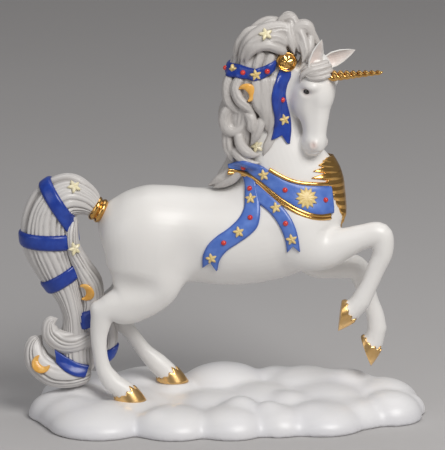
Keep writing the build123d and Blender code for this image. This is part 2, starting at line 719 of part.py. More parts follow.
add("mane_scroll_lock", casting(mane_locks["mane_scroll_lock"]), "mane mane_rear_lock")
add("mane_side_lock", casting(mane_locks["mane_side_lock"]), "mane neck mane_scroll_lock")
add("mane_lower_lock", casting(mane_locks["mane_lower_lock"]), "mane neck mane_side_lock mane_scroll_lock")
add("mane_far_upper_lock", casting(mane_locks["mane_far_upper_lock"]), "mane neck")
add("mane_far_lower_lock", casting(mane_locks["mane_far_lower_lock"]), "mane neck mane_far_upper_lock")

# Bridle
hair = [facets(solids["mane"]), facets(solids["neck"])]
bridle = []
for angle, height in bridle_path:
    levels = [height + bridle_width * (0.5 - i / (ribbon_samples - 1)) for i in range(ribbon_samples)]
    bridle.append([bridle_line(angle, level) for level in levels])
add("bridle_ribbon", ribbon(hair, bridle, ribbon_thickness))
bosses = [medallion(seat(hair, medallion_place, side).offset(luting)) for side in (right, left)]
add("medallions", Compound(children=bosses), "mane neck head forelock bridle_ribbon")
cheeks = both_sides(hair, cheek_streamer_edges, ribbon_thickness)
add("cheek_streamers", notched(cheeks, cheek_streamer_edges), "medallions mane mane_side_lock mane_far_upper_lock")

# Collar, chest plate and streamers
body = [facets(solids["torso"]), facets(solids["neck"])]
shoulders = body + [facets(solids["right_fore_leg"]), facets(solids["left_fore_leg"])]
add("collar", both_sides(body, collar_edges, ribbon_thickness))
for name, lower in (("collar_top_trim", False), ("collar_lower_trim", True)):
    trims = [ribbon(body, trim_lines(collar_edges, side, lower), trim_thickness) for side in (right, left)]
    add(name, Compound(children=trims))
plate = []
for z, reach in breast_plate_levels:
    spread = [reach * (2 * i / (plate_samples - 1) - 1) for i in range(plate_samples)]
    plate.append([(Vector(2 * through, y, z), Vector(-1, 0, 0)) for y in spread])
add("breast_plate", ribbon(body, plate, breast_plate_thickness))
rear = both_sides(body, rear_streamer_edges, ribbon_thickness)
add("rear_streamers", notched(rear, rear_streamer_edges))
front = both_sides(shoulders, front_streamer_edges, ribbon_thickness)
add("front_streamers", notched(front, front_streamer_edges))

# Ornaments, on both sides where their ribbon is
star_seats = []
jewel_seats = []
for seats, places_on in ((star_seats, ribbon_stars), (jewel_seats, ribbon_jewels)):
    for carrier, places in places_on.items():
        surfaces = [facets(solids[carrier])]
        for side in (right, left):
            seats += [seat(surfaces, place, side).offset(luting) for place in places]
bridle_surface = [facets(solids["bridle_ribbon"])]
star_seats += [landing(bridle_surface, *bridle_line(*place)).offset(luting) for place in bridle_stars]
jewel_seats += [landing(bridle_surface, *bridle_line(*place)).offset(luting) for place in bridle_jewels]
stars = Compound(children=[raised(star_sketch(star_radius), plane, star_relief) for plane in star_seats])
add("ribbon_stars", stars)
add("jewels", Compound(children=[dome(plane, jewel_radius) for plane in jewel_seats]))
sun_seats = [seat([facets(solids["collar"])], sun_place, side).offset(luting) for side in (right, left)]
add("suns", Compound(children=[raised(star_sketch(sun_radius, 12, 0.72), plane, sun_relief) for plane in sun_seats]))
for name, carriers in pale_stars.items():
    for carrier, places in carriers.items():
        planes = [seat([facets(solids[carrier])], place).offset(luting) for place in places]
        add(name, Compound(children=[raised(star_sketch(pale_star_radius), plane, star_relief) for plane in planes]))
for name, carriers in moons.items():
    shapes = []
    for carrier, (x, z, lean) in carriers.items():
        plane = seat([facets(solids[carrier])], (x, z)).offset(luting)
        shapes.append(raised(moon_sketch(moon_radius, lean), plane, moon_relief))
    add(name, Compound(children=shapes))

for name, shape in parts.items():
    export_step(shape, f"parts/{name}.step")
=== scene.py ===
import math
import bpy
import numpy as np
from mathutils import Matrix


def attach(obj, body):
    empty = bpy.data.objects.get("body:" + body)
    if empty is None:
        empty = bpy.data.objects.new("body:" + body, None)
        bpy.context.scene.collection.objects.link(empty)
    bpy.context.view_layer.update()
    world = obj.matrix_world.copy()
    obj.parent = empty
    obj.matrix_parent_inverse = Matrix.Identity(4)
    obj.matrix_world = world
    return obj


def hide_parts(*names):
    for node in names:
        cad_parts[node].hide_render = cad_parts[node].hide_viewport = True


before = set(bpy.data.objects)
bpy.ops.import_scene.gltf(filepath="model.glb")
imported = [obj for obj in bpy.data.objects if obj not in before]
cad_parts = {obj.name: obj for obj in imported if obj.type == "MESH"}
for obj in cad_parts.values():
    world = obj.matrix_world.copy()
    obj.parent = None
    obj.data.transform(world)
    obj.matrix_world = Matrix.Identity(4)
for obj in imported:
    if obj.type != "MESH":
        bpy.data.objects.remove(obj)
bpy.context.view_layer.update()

import openvdb as vdb
from mathutils import Vector

mm = 0.001
right, left = -1, 1  # the viewer's side is the figure's right, at -Y
sides = (right, left)
acrossAxis = np.array([0.0, 1.0, 0.0])
upAxis = np.array([0.0, 0.0, 1.0])
faceOut = {side: acrossAxis * side for side in sides}
noTriangles = np.zeros((0, 3), int)
# the photo's frame in pixels, millimetres a pixel, the camera's rise in degrees and distance in millimetres
view = {"wide": 445.0, "midU": 222.5, "midV": 225.0, "floorV": 415.0, "pixel": 0.5, "rise": 14.0,
        "distance": 3600.0}
riseSin, riseCos = math.sin(math.radians(view["rise"])), math.cos(math.radians(view["rise"]))


# photo rows u, v, y and sizes to model rows x, y, z and sizes: x from u, and z from the height over the floor
# line less the share of it that the depth makes up
def fromPhoto(rows):
    table = np.array(rows, float)
    out = table.copy()
    out[:, 0] = (table[:, 0] - view["midU"]) * view["pixel"]
    out[:, 1] = table[:, 2]
    out[:, 2] = ((view["floorV"] - table[:, 1]) * view["pixel"] - riseSin * table[:, 2]) / riseCos
    return out


# smooth path: cubic Hermite through the rows, sampled at even steps of length
def evened(rows, count):
    table = np.asarray(rows, float)
    marks = np.r_[0, np.cumsum(np.linalg.norm(np.diff(table[:, :3], axis=0), axis=1))]
    slopes = np.gradient(table, marks, axis=0)
    at = np.linspace(0, marks[-1], count)
    i = np.clip(np.searchsorted(marks, at, side="right") - 1, 0, len(table) - 2)
    span = (marks[i + 1] - marks[i])[:, None]
    t = (at[:, None] - marks[i][:, None]) / span
    start = (2 * t ** 3 - 3 * t ** 2 + 1) * table[i] + (t ** 3 - 2 * t ** 2 + t) * span * slopes[i]
    end = (3 * t ** 2 - 2 * t ** 3) * table[i + 1] + (t ** 3 - t ** 2) * span * slopes[i + 1]
    return start + end


# each vector over its own length
def unit(v):
    return v / np.maximum(np.linalg.norm(v, axis=-1, keepdims=True), 1e-9)


# angles round one full turn
def angles(count):
    return np.linspace(0, 2 * np.pi, count, endpoint=False)


# oval tube: middle + wide * width * cos(turn) + deep * depth * sin(turn), swollen by the ridge pattern;
# wide is the side turned square to the path
def tube(rows, count, around, side=acrossAxis, swell=None):
    table = evened(rows, count)
    along = unit(np.gradient(table[:, :3], axis=0))
    wide = unit(side - along * (along @ side)[:, None])
    deep = np.cross(along, wide)
    turn = angles(around)
    s = np.linspace(0, 1, count)
    grow = np.ones((count, around)) if swell is None else swell(s[:, None], turn[None, :])
    w = (table[:, 3, None] * np.cos(turn) * grow)[..., None]
    d = (table[:, 4, None] * np.sin(turn) * grow)[..., None]
    return table[:, None, :3] + wide[:, None] * w + deep[:, None] * d


# a shape turned inside out has a negative volume, so its faces are reversed
def outward(verts, quads, tris):
    every = np.vstack([quads[:, [0, 1, 2]], quads[:, [0, 2, 3]], tris])
    volume = np.einsum("ij,ij->i", verts[every[:, 0]], np.cross(verts[every[:, 1]], verts[every[:, 2]])).sum()
    return (verts, quads, tris) if volume > 0 else (verts, quads[:, ::-1], tris[:, ::-1])


# quads of a grid that closes round its second direction, and as a ring round its first too:
# the corner in row i and column j is number i * m + j
def gridQuads(n, m, ring=False):
    i, j = np.meshgrid(np.arange(n if ring else n - 1), np.arange(m), indexing="ij")
    a, b = (i + 1) % n, (j + 1) % m
    return np.stack([i * m + j, i * m + b, a * m + b, a * m + j], -1).reshape(-1, 4)


# closed shape of a grid that closes round its second direction, with a pole at each end
def closedTube(grid):
    n, m, _ = grid.shape
    verts = np.vstack([grid.reshape(-1, 3), grid[0].mean(0), grid[-1].mean(0)])
    r = np.arange(m)
    q = (r + 1) % m
    first = np.stack([np.full(m, n * m), q, r], -1)
    last = np.stack([np.full(m, n * m + 1), (n - 1) * m + r, (n - 1) * m + q], -1)
    return outward(verts, gridQuads(n, m), np.vstack([first, last]))


# the closed shape of an oval tube
def tubeShape(rows, count, around, side=acrossAxis):
    return closedTube(tube(rows, count, around, side))


# several closed shapes as one: faces renumbered past the shapes before them
def gathered(shapes):
    verts, quads, tris, start = [], [], [], 0
    for v, q, t in shapes:
        verts.append(v)
        quads.append(q + start)
        tris.append(t + start)
        start += len(v)
    return np.vstack(verts), np.vstack(quads), np.vstack(tris)


# one mesh object on the root body, shown for the named nodes; each attribute has a value for every vertex
def piece(name, shape, material, nodes, attributes=None):
    verts, quads, tris = shape
    mesh = bpy.data.meshes.new(name)
    mesh.from_pydata((verts * mm).tolist(), [], quads.tolist() + tris.tolist())
    mesh.polygons.foreach_set("use_smooth", np.ones(len(mesh.polygons), bool))
    for key, values in (attributes or {}).items():
        layer = mesh.attributes.new(key, "FLOAT", "POINT")
        layer.data.foreach_set("value", np.asarray(values, np.float32))
    mesh.update()
    obj = bpy.data.objects.new(name, mesh)
    bpy.context.scene.collection.objects.link(obj)
    mesh.materials.append(material)
    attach(obj, "root")
    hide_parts(*nodes)
    print("piece", name, len(verts), "vertices")


# a piece made of shapes that each come with values for their vertices
def valuedPiece(name, parts, material, nodes, key):
    values = np.concatenate([own for _, own in parts])
    piece(name, gathered([shape for shape, _ in parts]), material, nodes, {key: values})


# distance fields

fieldBand = 9.0  # distances are held to this
farOff = 99.0  # stands for no ground at all
easePulls = (0.5, -0.52)  # towards the neighbours' mean and back, so that a skin is eased without shrinking


# a block of space sampled at an even step
def lattice(low, high, step):
    first = np.floor(np.array(low) / step).astype(int)
    last = np.ceil(np.array(high) / step).astype(int)
    axes = [np.arange(a, b + 1) * step for a, b in zip(first, last)]
    return {"first": first, "shape": tuple(last - first + 1), "step": step, "band": fieldBand,
            "xyz": np.ix_(*axes)}


# signed distance to a closed shape, held to the band on both sides
def fieldOf(shape, space):
    verts, quads, tris = shape
    reach = space["band"] / space["step"]
    grid = vdb.FloatGrid.createLevelSetFromPolygons(
        verts.astype(np.float32), triangles=tris.astype(np.uint32), quads=quads.astype(np.uint32),
        transform=vdb.createLinearTransform(voxelSize=space["step"]), halfWidth=reach)
    block = np.zeros(space["shape"], np.float32)
    grid.copyToArray(block, ijk=tuple(int(i) for i in space["first"]))
    return block


# soft union: the lesser of two distances, filled by a quarter of the softness where they are equal
def joined(a, b, soft):
    h = np.maximum(soft - np.abs(a - b), 0) / soft
    return np.minimum(a, b) - h * h * soft / 4


# soft cut: the soft union of the outside of a with b, turned back
def carved(a, b, soft):
    return -joined(-a, b, soft)


# distance to an oval ball, from its radius ratio times the least radius
def ball(space, middle, radii, frameAxes=None):
    x, y, z = (c - m for c, m in zip(space["xyz"], middle))
    if frameAxes is not None:
        x, y, z = (x * a[0] + y * a[1] + z * a[2] for a in frameAxes)
    k = np.sqrt((x / radii[0]) ** 2 + (y / radii[1]) ** 2 + (z / radii[2]) ** 2)
    return (k - 1) * min(radii)


# surface where the distance is nought, eased by moving each vertex towards its neighbours' mean
def skinOf(block, space, rounds=4):
    grid = vdb.FloatGrid(float(space["band"]))
    grid.copyFromArray(block.astype(np.float32), ijk=tuple(int(i) for i in space["first"]))
    grid.transform = vdb.createLinearTransform(voxelSize=space["step"])
    verts, quads = grid.convertToQuads(0.0)
    verts, quads = verts.astype(float), quads.astype(int)
    a = quads.ravel()
    b = np.roll(quads, -1, axis=1).ravel()
    count = np.bincount(a, minlength=len(verts)) + np.bincount(b, minlength=len(verts))
    for pull in easePulls * rounds:
        mean = np.stack([np.bincount(a, verts[b, c], len(verts)) + np.bincount(b, verts[a, c], len(verts))
                         for c in range(3)], -1) / np.maximum(count, 1)[:, None]
        verts = verts + pull * (mean - verts)
    return verts, quads, noTriangles


# least distance at any points, read between the eight nearest samples
def fieldAt(grounds, points):
    best = np.full(points.shape[:-1], farOff)
    for block, space in grounds:
        g = points / space["step"] - space["first"]
        limit = np.array(space["shape"]) - 2
        inside = np.all((g >= 0) & (g <= limit), axis=-1)
        i = np.clip(np.floor(g), 0, limit).astype(int)
        f = np.clip(g - i, 0, 1)
        value = 0
        for dx, dy, dz in np.ndindex(2, 2, 2):
            weight = np.abs(1 - dx - f[..., 0]) * np.abs(1 - dy - f[..., 1]) * np.abs(1 - dz - f[..., 2])
            value = value + weight * block[i[..., 0] + dx, i[..., 1] + dy, i[..., 2] + dz]
        best = np.minimum(best, np.where(inside, value, farOff))
    return best


# where straight lines first meet the ground: the first step with a distance below nought, drawn back to nought
def landing(grounds, start, way, reach=70.0, step=0.4):
    way = np.broadcast_to(way, start.shape)
    t = np.arange(0, reach, step)
    values = fieldAt(grounds, start[..., None, :] + way[..., None, :] * t[:, None])
    k = np.maximum(np.argmax(values < 0, axis=-1), 1)
    a = np.take_along_axis(values, (k - 1)[..., None], -1)[..., 0]
    b = np.take_along_axis(values, k[..., None], -1)[..., 0]
    at = (k - 1 + np.clip(a / np.where(np.abs(a - b) < 1e-9, 1, a - b), 0, 1)) * step
    return start + way * at[..., None]


# the way out of the ground, from the change of distance over a short step
def outOf(grounds, points, step=1.2):
    moves = np.eye(3) * step
    return unit(np.stack([fieldAt(grounds, points + m) - fieldAt(grounds, points - m) for m in moves], -1))


# crease: the share by which the distance falls short one spread out from each vertex; it marks the hollows
# where shade is painted into the glaze
def creaseOf(shape, block, space, spread):
    verts = shape[0]
    ground = [(block, space)]
    out = outOf(ground, verts)
    return np.clip(-fieldAt(ground, verts + out * spread) / spread + 1, 0, 1)


# hair cast in one: the locks' distances joined softly, each over the block of space around it
def castHair(shapes, space, soft, margin=3.0):
    block = np.full(space["shape"], margin, np.float32)
    limit = np.array(space["shape"])
    for shape in shapes:
        low = np.floor((shape[0].min(0) - margin) / space["step"]).astype(int) - space["first"]
        high = np.ceil((shape[0].max(0) + margin) / space["step"]).astype(int) - space["first"] + 1
        low, high = np.clip(low, 0, limit), np.clip(high, 0, limit)
        near = {"first": space["first"] + low, "shape": tuple(high - low), "step": space["step"],
                "band": margin}
        where = tuple(slice(a, b) for a, b in zip(low, high))
        block[where] = joined(block[where], fieldOf(shape, near), soft)
    return block


# materials

mottleStyle = {"detail": 5, "fineScale": 900, "low": 0.38, "high": 0.72, "fineSwell": 0.15}
glazeStyle = {"index": 1.5, "bumpDistance": 0.001}


# a node with its settings
def newNode(nodes, kind, **settings):
    node = nodes.new(kind)
    for key, value in settings.items():
        setattr(node, key, value)
    return node


# fired mottle: two sizes of cloudy noise that warm and dull a glaze a little, and a faint swell for the bump
def makeMottle():
    group = bpy.data.node_groups.new("firedMottle", "ShaderNodeTree")
    for kind, label, value in (("Color", "Glaze", (0.8, 0.8, 0.8, 1)), ("Color", "Tone", (0.6, 0.6, 0.6, 1)),
                               ("Float", "Scale", 60.0), ("Float", "Amount", 0.3)):
        socket = group.interface.new_socket(label, in_out="INPUT", socket_type="NodeSocket" + kind)
        socket.default_value = value
    for kind, label in (("Color", "Color"), ("Float", "Swell")):
        group.interface.new_socket(label, in_out="OUTPUT", socket_type="NodeSocket" + kind)
    nodes, links = group.nodes, group.links
    inp, out = nodes.new("NodeGroupInput"), nodes.new("NodeGroupOutput")
    coords = nodes.new("ShaderNodeTexCoord")
    noise = nodes.new("ShaderNodeTexNoise")
    noise.inputs["Detail"].default_value = mottleStyle["detail"]
    fine = nodes.new("ShaderNodeTexNoise")
    fine.inputs["Scale"].default_value = mottleStyle["fineScale"]
    ramp = nodes.new("ShaderNodeMapRange")
    ramp.inputs["From Min"].default_value = mottleStyle["low"]
    ramp.inputs["From Max"].default_value = mottleStyle["high"]
    times = newNode(nodes, "ShaderNodeMath", operation="MULTIPLY")
    mix = newNode(nodes, "ShaderNodeMix", data_type="RGBA")
    add = newNode(nodes, "ShaderNodeMath", operation="MULTIPLY_ADD")
    add.inputs[1].default_value = mottleStyle["fineSwell"]
    links.new(coords.outputs["Object"], noise.inputs["Vector"])
    links.new(coords.outputs["Object"], fine.inputs["Vector"])
    links.new(inp.outputs["Scale"], noise.inputs["Scale"])
    links.new(noise.outputs["Fac"], ramp.inputs["Value"])
    links.new(ramp.outputs["Result"], times.inputs[0])
    links.new(inp.outputs["Amount"], times.inputs[1])
    links.new(times.outputs[0], mix.inputs["Factor"])
    links.new(inp.outputs["Glaze"], mix.inputs["A"])
    links.new(inp.outputs["Tone"], mix.inputs["B"])
    links.new(fine.outputs["Fac"], add.inputs[0])
    links.new(noise.outputs["Fac"], add.inputs[2])
    links.new(mix.outputs["Result"], out.inputs["Color"])
    links.new(add.outputs[0], out.inputs["Swell"])
    return group


mottle = makeMottle()


# glaze: mottled colour, a tint where the piece's own attribute is high (pink paint on the face and ears,
# painted shade in hair grooves and cloud creases, darker ribbon edges), soft swell, clear coat
def glaze(name, colour, tone, scale=300, amount=0.8, rough=0.42, coat=0.2, coatRough=0.2, bump=0.02,
          tint=None, tintName="", tintAmount=1.0, metallic=0.0):
    material = bpy.data.materials.new(name)
    material.use_nodes = True
    nodes, links = material.node_tree.nodes, material.node_tree.links
    shader = nodes["Principled BSDF"]
    group = newNode(nodes, "ShaderNodeGroup", node_tree=mottle)
    for label, value in (("Glaze", (*colour, 1)), ("Tone", (*tone, 1)), ("Scale", scale), ("Amount", amount)):
        group.inputs[label].default_value = value
    last = group.outputs["Color"]
    if tint:
        attr = newNode(nodes, "ShaderNodeAttribute", attribute_name=tintName)
        times = newNode(nodes, "ShaderNodeMath", operation="MULTIPLY")
        times.inputs[1].default_value = tintAmount
        mix = newNode(nodes, "ShaderNodeMix", data_type="RGBA")
        links.new(attr.outputs["Fac"], times.inputs[0])
        links.new(times.outputs[0], mix.inputs["Factor"])
        links.new(last, mix.inputs["A"])
        mix.inputs["B"].default_value = (*tint, 1)
        last = mix.outputs["Result"]
    links.new(last, shader.inputs["Base Color"])
    swell = nodes.new("ShaderNodeBump")
    swell.inputs["Strength"].default_value = bump
    swell.inputs["Distance"].default_value = glazeStyle["bumpDistance"]
    links.new(group.outputs["Swell"], swell.inputs["Height"])
    links.new(swell.outputs["Normal"], shader.inputs["Normal"])
    for label, value in (("Roughness", rough), ("Coat Weight", coat), ("Coat Roughness", coatRough),
                         ("Metallic", metallic), ("IOR", glazeStyle["index"])):
        shader.inputs[label].default_value = value
    return material


# gold: a glaze on metal, without a coat
def gold(name, colour, tone, rough):
    return glaze(name, colour, tone, scale=180, rough=rough, coat=0.0, coatRough=0.1, bump=0.06, metallic=1.0)


whiteGlaze = glaze("whiteGlaze", (0.82, 0.805, 0.785), (0.78, 0.76, 0.73), scale=35, amount=0.5, coat=0.22,
                   coatRough=0.30, tint=(0.66, 0.44, 0.38), tintName="blush", tintAmount=0.8)
# hair and tail: where the groove attribute is high the colour is drawn towards a dark grey-brown, painted
# shade in the grooves between strands
hairGlaze = glaze("hairGlaze", (0.57, 0.545, 0.525), (0.50, 0.475, 0.455), scale=50, amount=0.6, coat=0.15,
                  bump=0.03, tint=(0.22, 0.195, 0.18), tintName="groove", tintAmount=0.8)
tailGlaze = glaze("tailGlaze", (0.66, 0.64, 0.625), (0.59, 0.57, 0.555), scale=50, amount=0.6, coat=0.15,
                  bump=0.03, tint=(0.22, 0.195, 0.18), tintName="groove", tintAmount=0.9)
# cloud: where the crease attribute is high the colour is drawn towards a darker lilac grey, painted shade in
# the folds between the pillows
cloudGlaze = glaze("cloudGlaze", (0.83, 0.82, 0.815), (0.77, 0.77, 0.80), scale=30, amount=0.6, coat=0.22,
                   coatRough=0.30, tint=(0.62, 0.63, 0.70), tintName="creaseShade", tintAmount=0.6)
blueGlaze = glaze("blueGlaze", (0.075, 0.165, 0.54), (0.14, 0.26, 0.68), scale=220, rough=0.34, bump=0.12,
                  tint=(0.03, 0.07, 0.34), tintName="edge", tintAmount=0.55)
deepBlueGlaze = glaze("deepBlueGlaze", (0.009, 0.040, 0.30), (0.022, 0.075, 0.42), scale=220, rough=0.32,
                      coat=0.15, bump=0.12, tint=(0.012, 0.03, 0.22), tintName="edge", tintAmount=0.6)
gilt = gold("gilt", (0.80, 0.48, 0.16), (0.60, 0.32, 0.08), rough=0.14)
hoofGilt = gold("hoofGilt", (0.90, 0.60, 0.27), (0.74, 0.44, 0.15), rough=0.30)
redEnamel = glaze("redEnamel", (0.62, 0.02, 0.018), (0.78, 0.07, 0.04), scale=400, rough=0.18, coat=0.6,
                  coatRough=0.06, bump=0.03)
creamEnamel = glaze("creamEnamel", (0.84, 0.66, 0.29), (0.64, 0.43, 0.13), scale=500, amount=0.9, rough=0.38,
                    bump=0.35)
paleEnamel = glaze("paleEnamel", (0.82, 0.74, 0.46), (0.78, 0.72, 0.56), amount=0.9, rough=0.36, coat=0.25,
                   coatRough=0.15, bump=0.1)
amberEnamel = glaze("amberEnamel", (0.82, 0.40, 0.06), (0.90, 0.55, 0.16), rough=0.32, coat=0.3,
                    coatRough=0.12, bump=0.1)
blackEnamel = glaze("blackEnamel", (0.012, 0.010, 0.009), (0.03, 0.02, 0.015), amount=0.6, rough=0.06,
                    coat=0.8, coatRough=0.03, bump=0.01)
print("materials made")


# body: torso, neck, head and legs as oval tubes, softly joined

torsoRows = [
    (-61, 0, 92, 4, 6), (-58.5, 0, 92.6, 9, 12), (-50, 0, 93.5, 16.5, 20), (-40, 0, 93.5, 20, 24),
    (-28, 0, 93.5, 21.5, 24.5), (-14, 0, 93, 21.5, 23.8), (2, 0, 92.5, 22, 24.8), (18, 0, 94, 21.5, 25),
    (34, 0, 97, 19.5, 23), (46, 0, 100, 16, 18.5), (55, 0, 103, 10.5, 12.5), (58.5, 0, 105, 5, 6),
]
neckRows = [
    (34, 0, 104, 16.5, 24), (33.5, 0, 118, 15.5, 25.5), (29.5, -0.5, 131, 13.5, 21.5),
    (25, -1, 146, 11.5, 16.5), (23.5, -2, 160, 10.5, 13.5), (27, -3.5, 173, 10, 12),
    (36, -5, 182, 8.5, 10),
]
headPose = {"turn": 38.0, "poll": (44.5, -7.0, 188.5), "swing": 0.13, "swingStart": 8.0}
# drop below the poll, reach of the face, reach of the jaw, half width
headLevels = [
    (0.5, 3, 6, 4.5), (6, 9, 8.5, 8), (13, 11.8, 10, 9.6), (19.5, 12.4, 11, 10.2), (27, 10.8, 9.8, 8.4),
    (34, 9, 6, 6.3), (40, 7.8, 4.6, 5.4), (45, 7.5, 5, 5.7), (48.8, 5.4, 4.6, 4.8), (51.4, 2.2, 2.8, 2.4),
]
# swells and hollows on both sides of the head: forward, side, drop, radii, softness
headSwells = {
    "jowl": (-3.5, 5.2, 24, (6.5, 3.6, 7), 2.5), "brow": (5.2, 8.2, 15.4, (4.2, 3.0, 2.8), 2.2),
    "nostrilRim": (4.2, 4.2, 45.2, (2.2, 1.9, 2.4), 1.6),
}
headHollows = {
    "eyeSocket": (3.6, 9.9, 18.4, (2.5, 1.3, 1.8), 1.0), "nostril": (5.0, 6.1, 45, (1.1, 0.9, 1.6), 0.8),
    "cheek": (7.5, 7.6, 31, (3.0, 1.6, 7), 2.5),
}
mouthSlit = (2.4, 0, 49.2, (4.6, 5.2, 0.22), 0.6)
legRows = {
    "rightHind": [
        (-35, -4.5, 108, 5, 13), (-36, -9, 97, 10.5, 21.5), (-37, -11.5, 84, 11, 20.5),
        (-40, -12.5, 71, 9.5, 18), (-48, -13, 61, 7.2, 11.5), (-59, -13.5, 56, 5, 6.4),
        (-61.5, -13.5, 47.5, 4, 4.7), (-61.5, -13.5, 37, 3.5, 3.7), (-59, -13.5, 26, 3.9, 4.1),
        (-55, -13.5, 20, 4.8, 5)],
    "leftHind": [
        (-34, 4.5, 108, 5, 13), (-34, 9, 97, 10.5, 20.5), (-35, 11.5, 84, 11, 19.5),
        (-38, 12.5, 71, 9.5, 16), (-46, 13, 61, 7, 10.5), (-53.5, 13, 54.5, 5, 6.4),
        (-51, 13, 45.5, 4, 4.7), (-45, 13, 37, 3.5, 3.7), (-38.5, 13, 28.5, 3.9, 4.1),
        (-33, 13, 23, 4.8, 5.2)],
    "rightFore": [
        (36, -10, 101, 9, 16), (42, -12.5, 91, 9, 13.5), (50, -13, 88.5, 7.6, 10.5),
        (60, -13, 91.5, 6.6, 8), (70, -13, 95, 5.6, 6.4), (78.5, -13, 96, 5.4, 6.2),
        (80, -13, 88, 4.9, 5.2), (76.5, -13, 78.5, 4.3, 4.6), (72.5, -13, 69, 4.4, 4.4),
        (69, -13, 62, 4.9, 5)],
    "leftFore": [
        (36, 9.5, 99.5, 9, 15), (41.5, 12, 85.5, 8.5, 12.5), (48, 12.5, 77, 7.2, 9.5),
        (58, 12.5, 74, 6, 6.8), (67.5, 12.5, 72.5, 5.4, 6), (71, 12.5, 65, 4.8, 5),
        (74, 12.5, 56, 4.2, 4.4), (77, 12.5, 47.5, 4.4, 4.5), (77.8, 12.5, 41, 4.9, 5)],
}
# swells and hollows on both sides of the body: place, radii, softness
bodySwells = {
    "haunch": ((-38, 10.5, 92), (17, 11.5, 20), 6), "stifle": ((-30.5, 13, 74), (7, 7, 9.5), 5),
    "shoulder": ((37, 10, 98), (12, 10.5, 16), 6),
}
bodyHollows = {"flank": ((-18, 24.5, 82), (7, 4.2, 14), 5), "thigh": ((-51, 24.2, 70), (12, 5.0, 4.8), 6)}
chestHollow = {"place": (67, 0, 96), "radii": (9.5, 9, 10), "soft": 4}
hockPoints = {"places": ((-63.4, -13.5, 58.4), (-58, 13, 57)), "radii": (2.6, 2.8, 3.2), "soft": 2.5}
bodySoft = {"neck": 9.0, "head": 3.2, "hind": 6.0, "fore": 3.6}
# coronet, the way the hoof points, the way its sole faces
hoofPoses = {
    "rightHind": ((-50, -13.5, 16.5), (0.6, 0, -0.8), (0, 0, -1)),
    "leftHind": ((-29, 13, 19.2), (0.6, 0, -0.8), (0, 0, -1)),
    "rightFore": ((65, -13, 57.5), (-0.9, 0, -0.44), (-0.99, 0, 0.12)),
    "leftFore": ((76.2, 12.5, 35), (-0.55, 0, -0.83), (-0.94, 0, -0.34)),
}
hoofSize = {"height": 7.0, "soleLong": 7.3, "soleWide": 6.2, "topLong": 5.3, "topWide": 5.0}
headTurn = math.radians(headPose["turn"])
faceForward = np.array([math.cos(headTurn), -math.sin(headTurn), 0])
faceSide = np.array([math.sin(headTurn), math.cos(headTurn), 0])
poll = np.array(headPose["poll"])


# a place on the head: forward and to its side from the poll, then down; the muzzle swings to the viewer
def headPoint(forward, side, drop):
    swing = headPose["swing"] * max(drop - headPose["swingStart"], 0)
    return poll + faceForward * forward + faceSide * side - upAxis * drop - acrossAxis * swing


# head rows: the middle lies halfway between the reach of the face and of the jaw
def headRows():
    rows = []
    for drop, face, jaw, half in headLevels:
        rows.append((*headPoint((face - jaw) / 2, 0, drop), half, (face + jaw) / 2))
    return rows


# hoof: ovals eased from the coronet's plane to the sole's
def hoofRing(name, share, grow, around):
    coronet, pointing, soleWay = (np.array(v, float) for v in hoofPoses[name])
    pointing = unit(pointing)
    way = unit(pointing * (1 - share) + soleWay * share)
    wide = unit(acrossAxis - way * (way @ acrossAxis))
    deep = np.cross(way, wide)
    h = hoofSize
    w = h["topWide"] + (h["soleWide"] - h["topWide"]) * share + grow
    d = h["topLong"] + (h["soleLong"] - h["topLong"]) * share + grow
    t = angles(around)
    mid = coronet + pointing * h["height"] * share
    return mid + wide * (w * np.cos(t))[:, None] + deep * (d * np.sin(t))[:, None]


# leg: the tube of its rows, ending in the core of the hoof
def legShape(name, count=60, around=36):
    core = [hoofRing(name, share, 0, around) for share in (0, 0.5, 0.95)]
    return closedTube(np.vstack([tube(legRows[name], count, around), core]))


# body: tubes joined softly, then oval balls joined as swells and carved as hollows
def bodyField(space):
    axes = (faceForward, faceSide, upAxis)

    def headBall(entry, side):
        forward, out, drop, radii, soft = entry
        return ball(space, headPoint(forward, out * side, drop), radii, axes), soft

    def bodyBall(entry, side):
        (x, y, z), radii, soft = entry
        return ball(space, (x, y * side, z), radii), soft

    block = fieldOf(tubeShape(torsoRows, 80, 48), space)
    block = joined(block, fieldOf(tubeShape(neckRows, 60, 48), space), bodySoft["neck"])
    head = fieldOf(tubeShape(headRows(), 60, 48, faceSide), space)
    for side in sides:
        for entry in headSwells.values():
            head = joined(head, *headBall(entry, side))
        for entry in headHollows.values():
            head = carved(head, *headBall(entry, side))
    head = carved(head, *headBall(mouthSlit, right))
    block = joined(block, head, bodySoft["head"])
    for name in legRows:
        block = joined(block, fieldOf(legShape(name), space), bodySoft["hind" if "Hind" in name else "fore"])
    block = carved(block, ball(space, chestHollow["place"], chestHollow["radii"]), chestHollow["soft"])
    for place in hockPoints["places"]:
        block = joined(block, ball(space, place, hockPoints["radii"]), hockPoints["soft"])
    for side in sides:
        for entry in bodySwells.values():
            block = joined(block, *bodyBall(entry, side))
        for entry in bodyHollows.values():
            block = carved(block, *bodyBall(entry, side))
    return block


collarCut = {"rear": (10, 131), "front": (54, 114), "lap": 0.2}


# height over the slanted plane that the collar covers, where the upper and the lower skin meet
def overCollar(space):
    (x0, z0), (x1, z1) = collarCut["rear"], collarCut["front"]
    x, _, z = space["xyz"]
    return ((x - x0) * (z0 - z1) + (z - z0) * (x1 - x0)) / math.hypot(x1 - x0, z1 - z0)


bodySpace = lattice(low=(-70, -28, 4), high=(90, 28, 198), step=0.85)
wholeField = bodyField(bodySpace)
lowerSkin = skinOf(np.maximum(wholeField, overCollar(bodySpace)), bodySpace)
piece("bodySkin", lowerSkin, whiteGlaze,
      ("torso", "right_hind_leg", "left_hind_leg", "right_fore_leg", "left_fore_leg"))
headSpace = lattice(low=(0, -26, 104), high=(64, 20, 194), step=0.5)
headField = bodyField(headSpace)
upperSkin = skinOf(np.maximum(headField, -overCollar(headSpace) - collarCut["lap"]), headSpace)
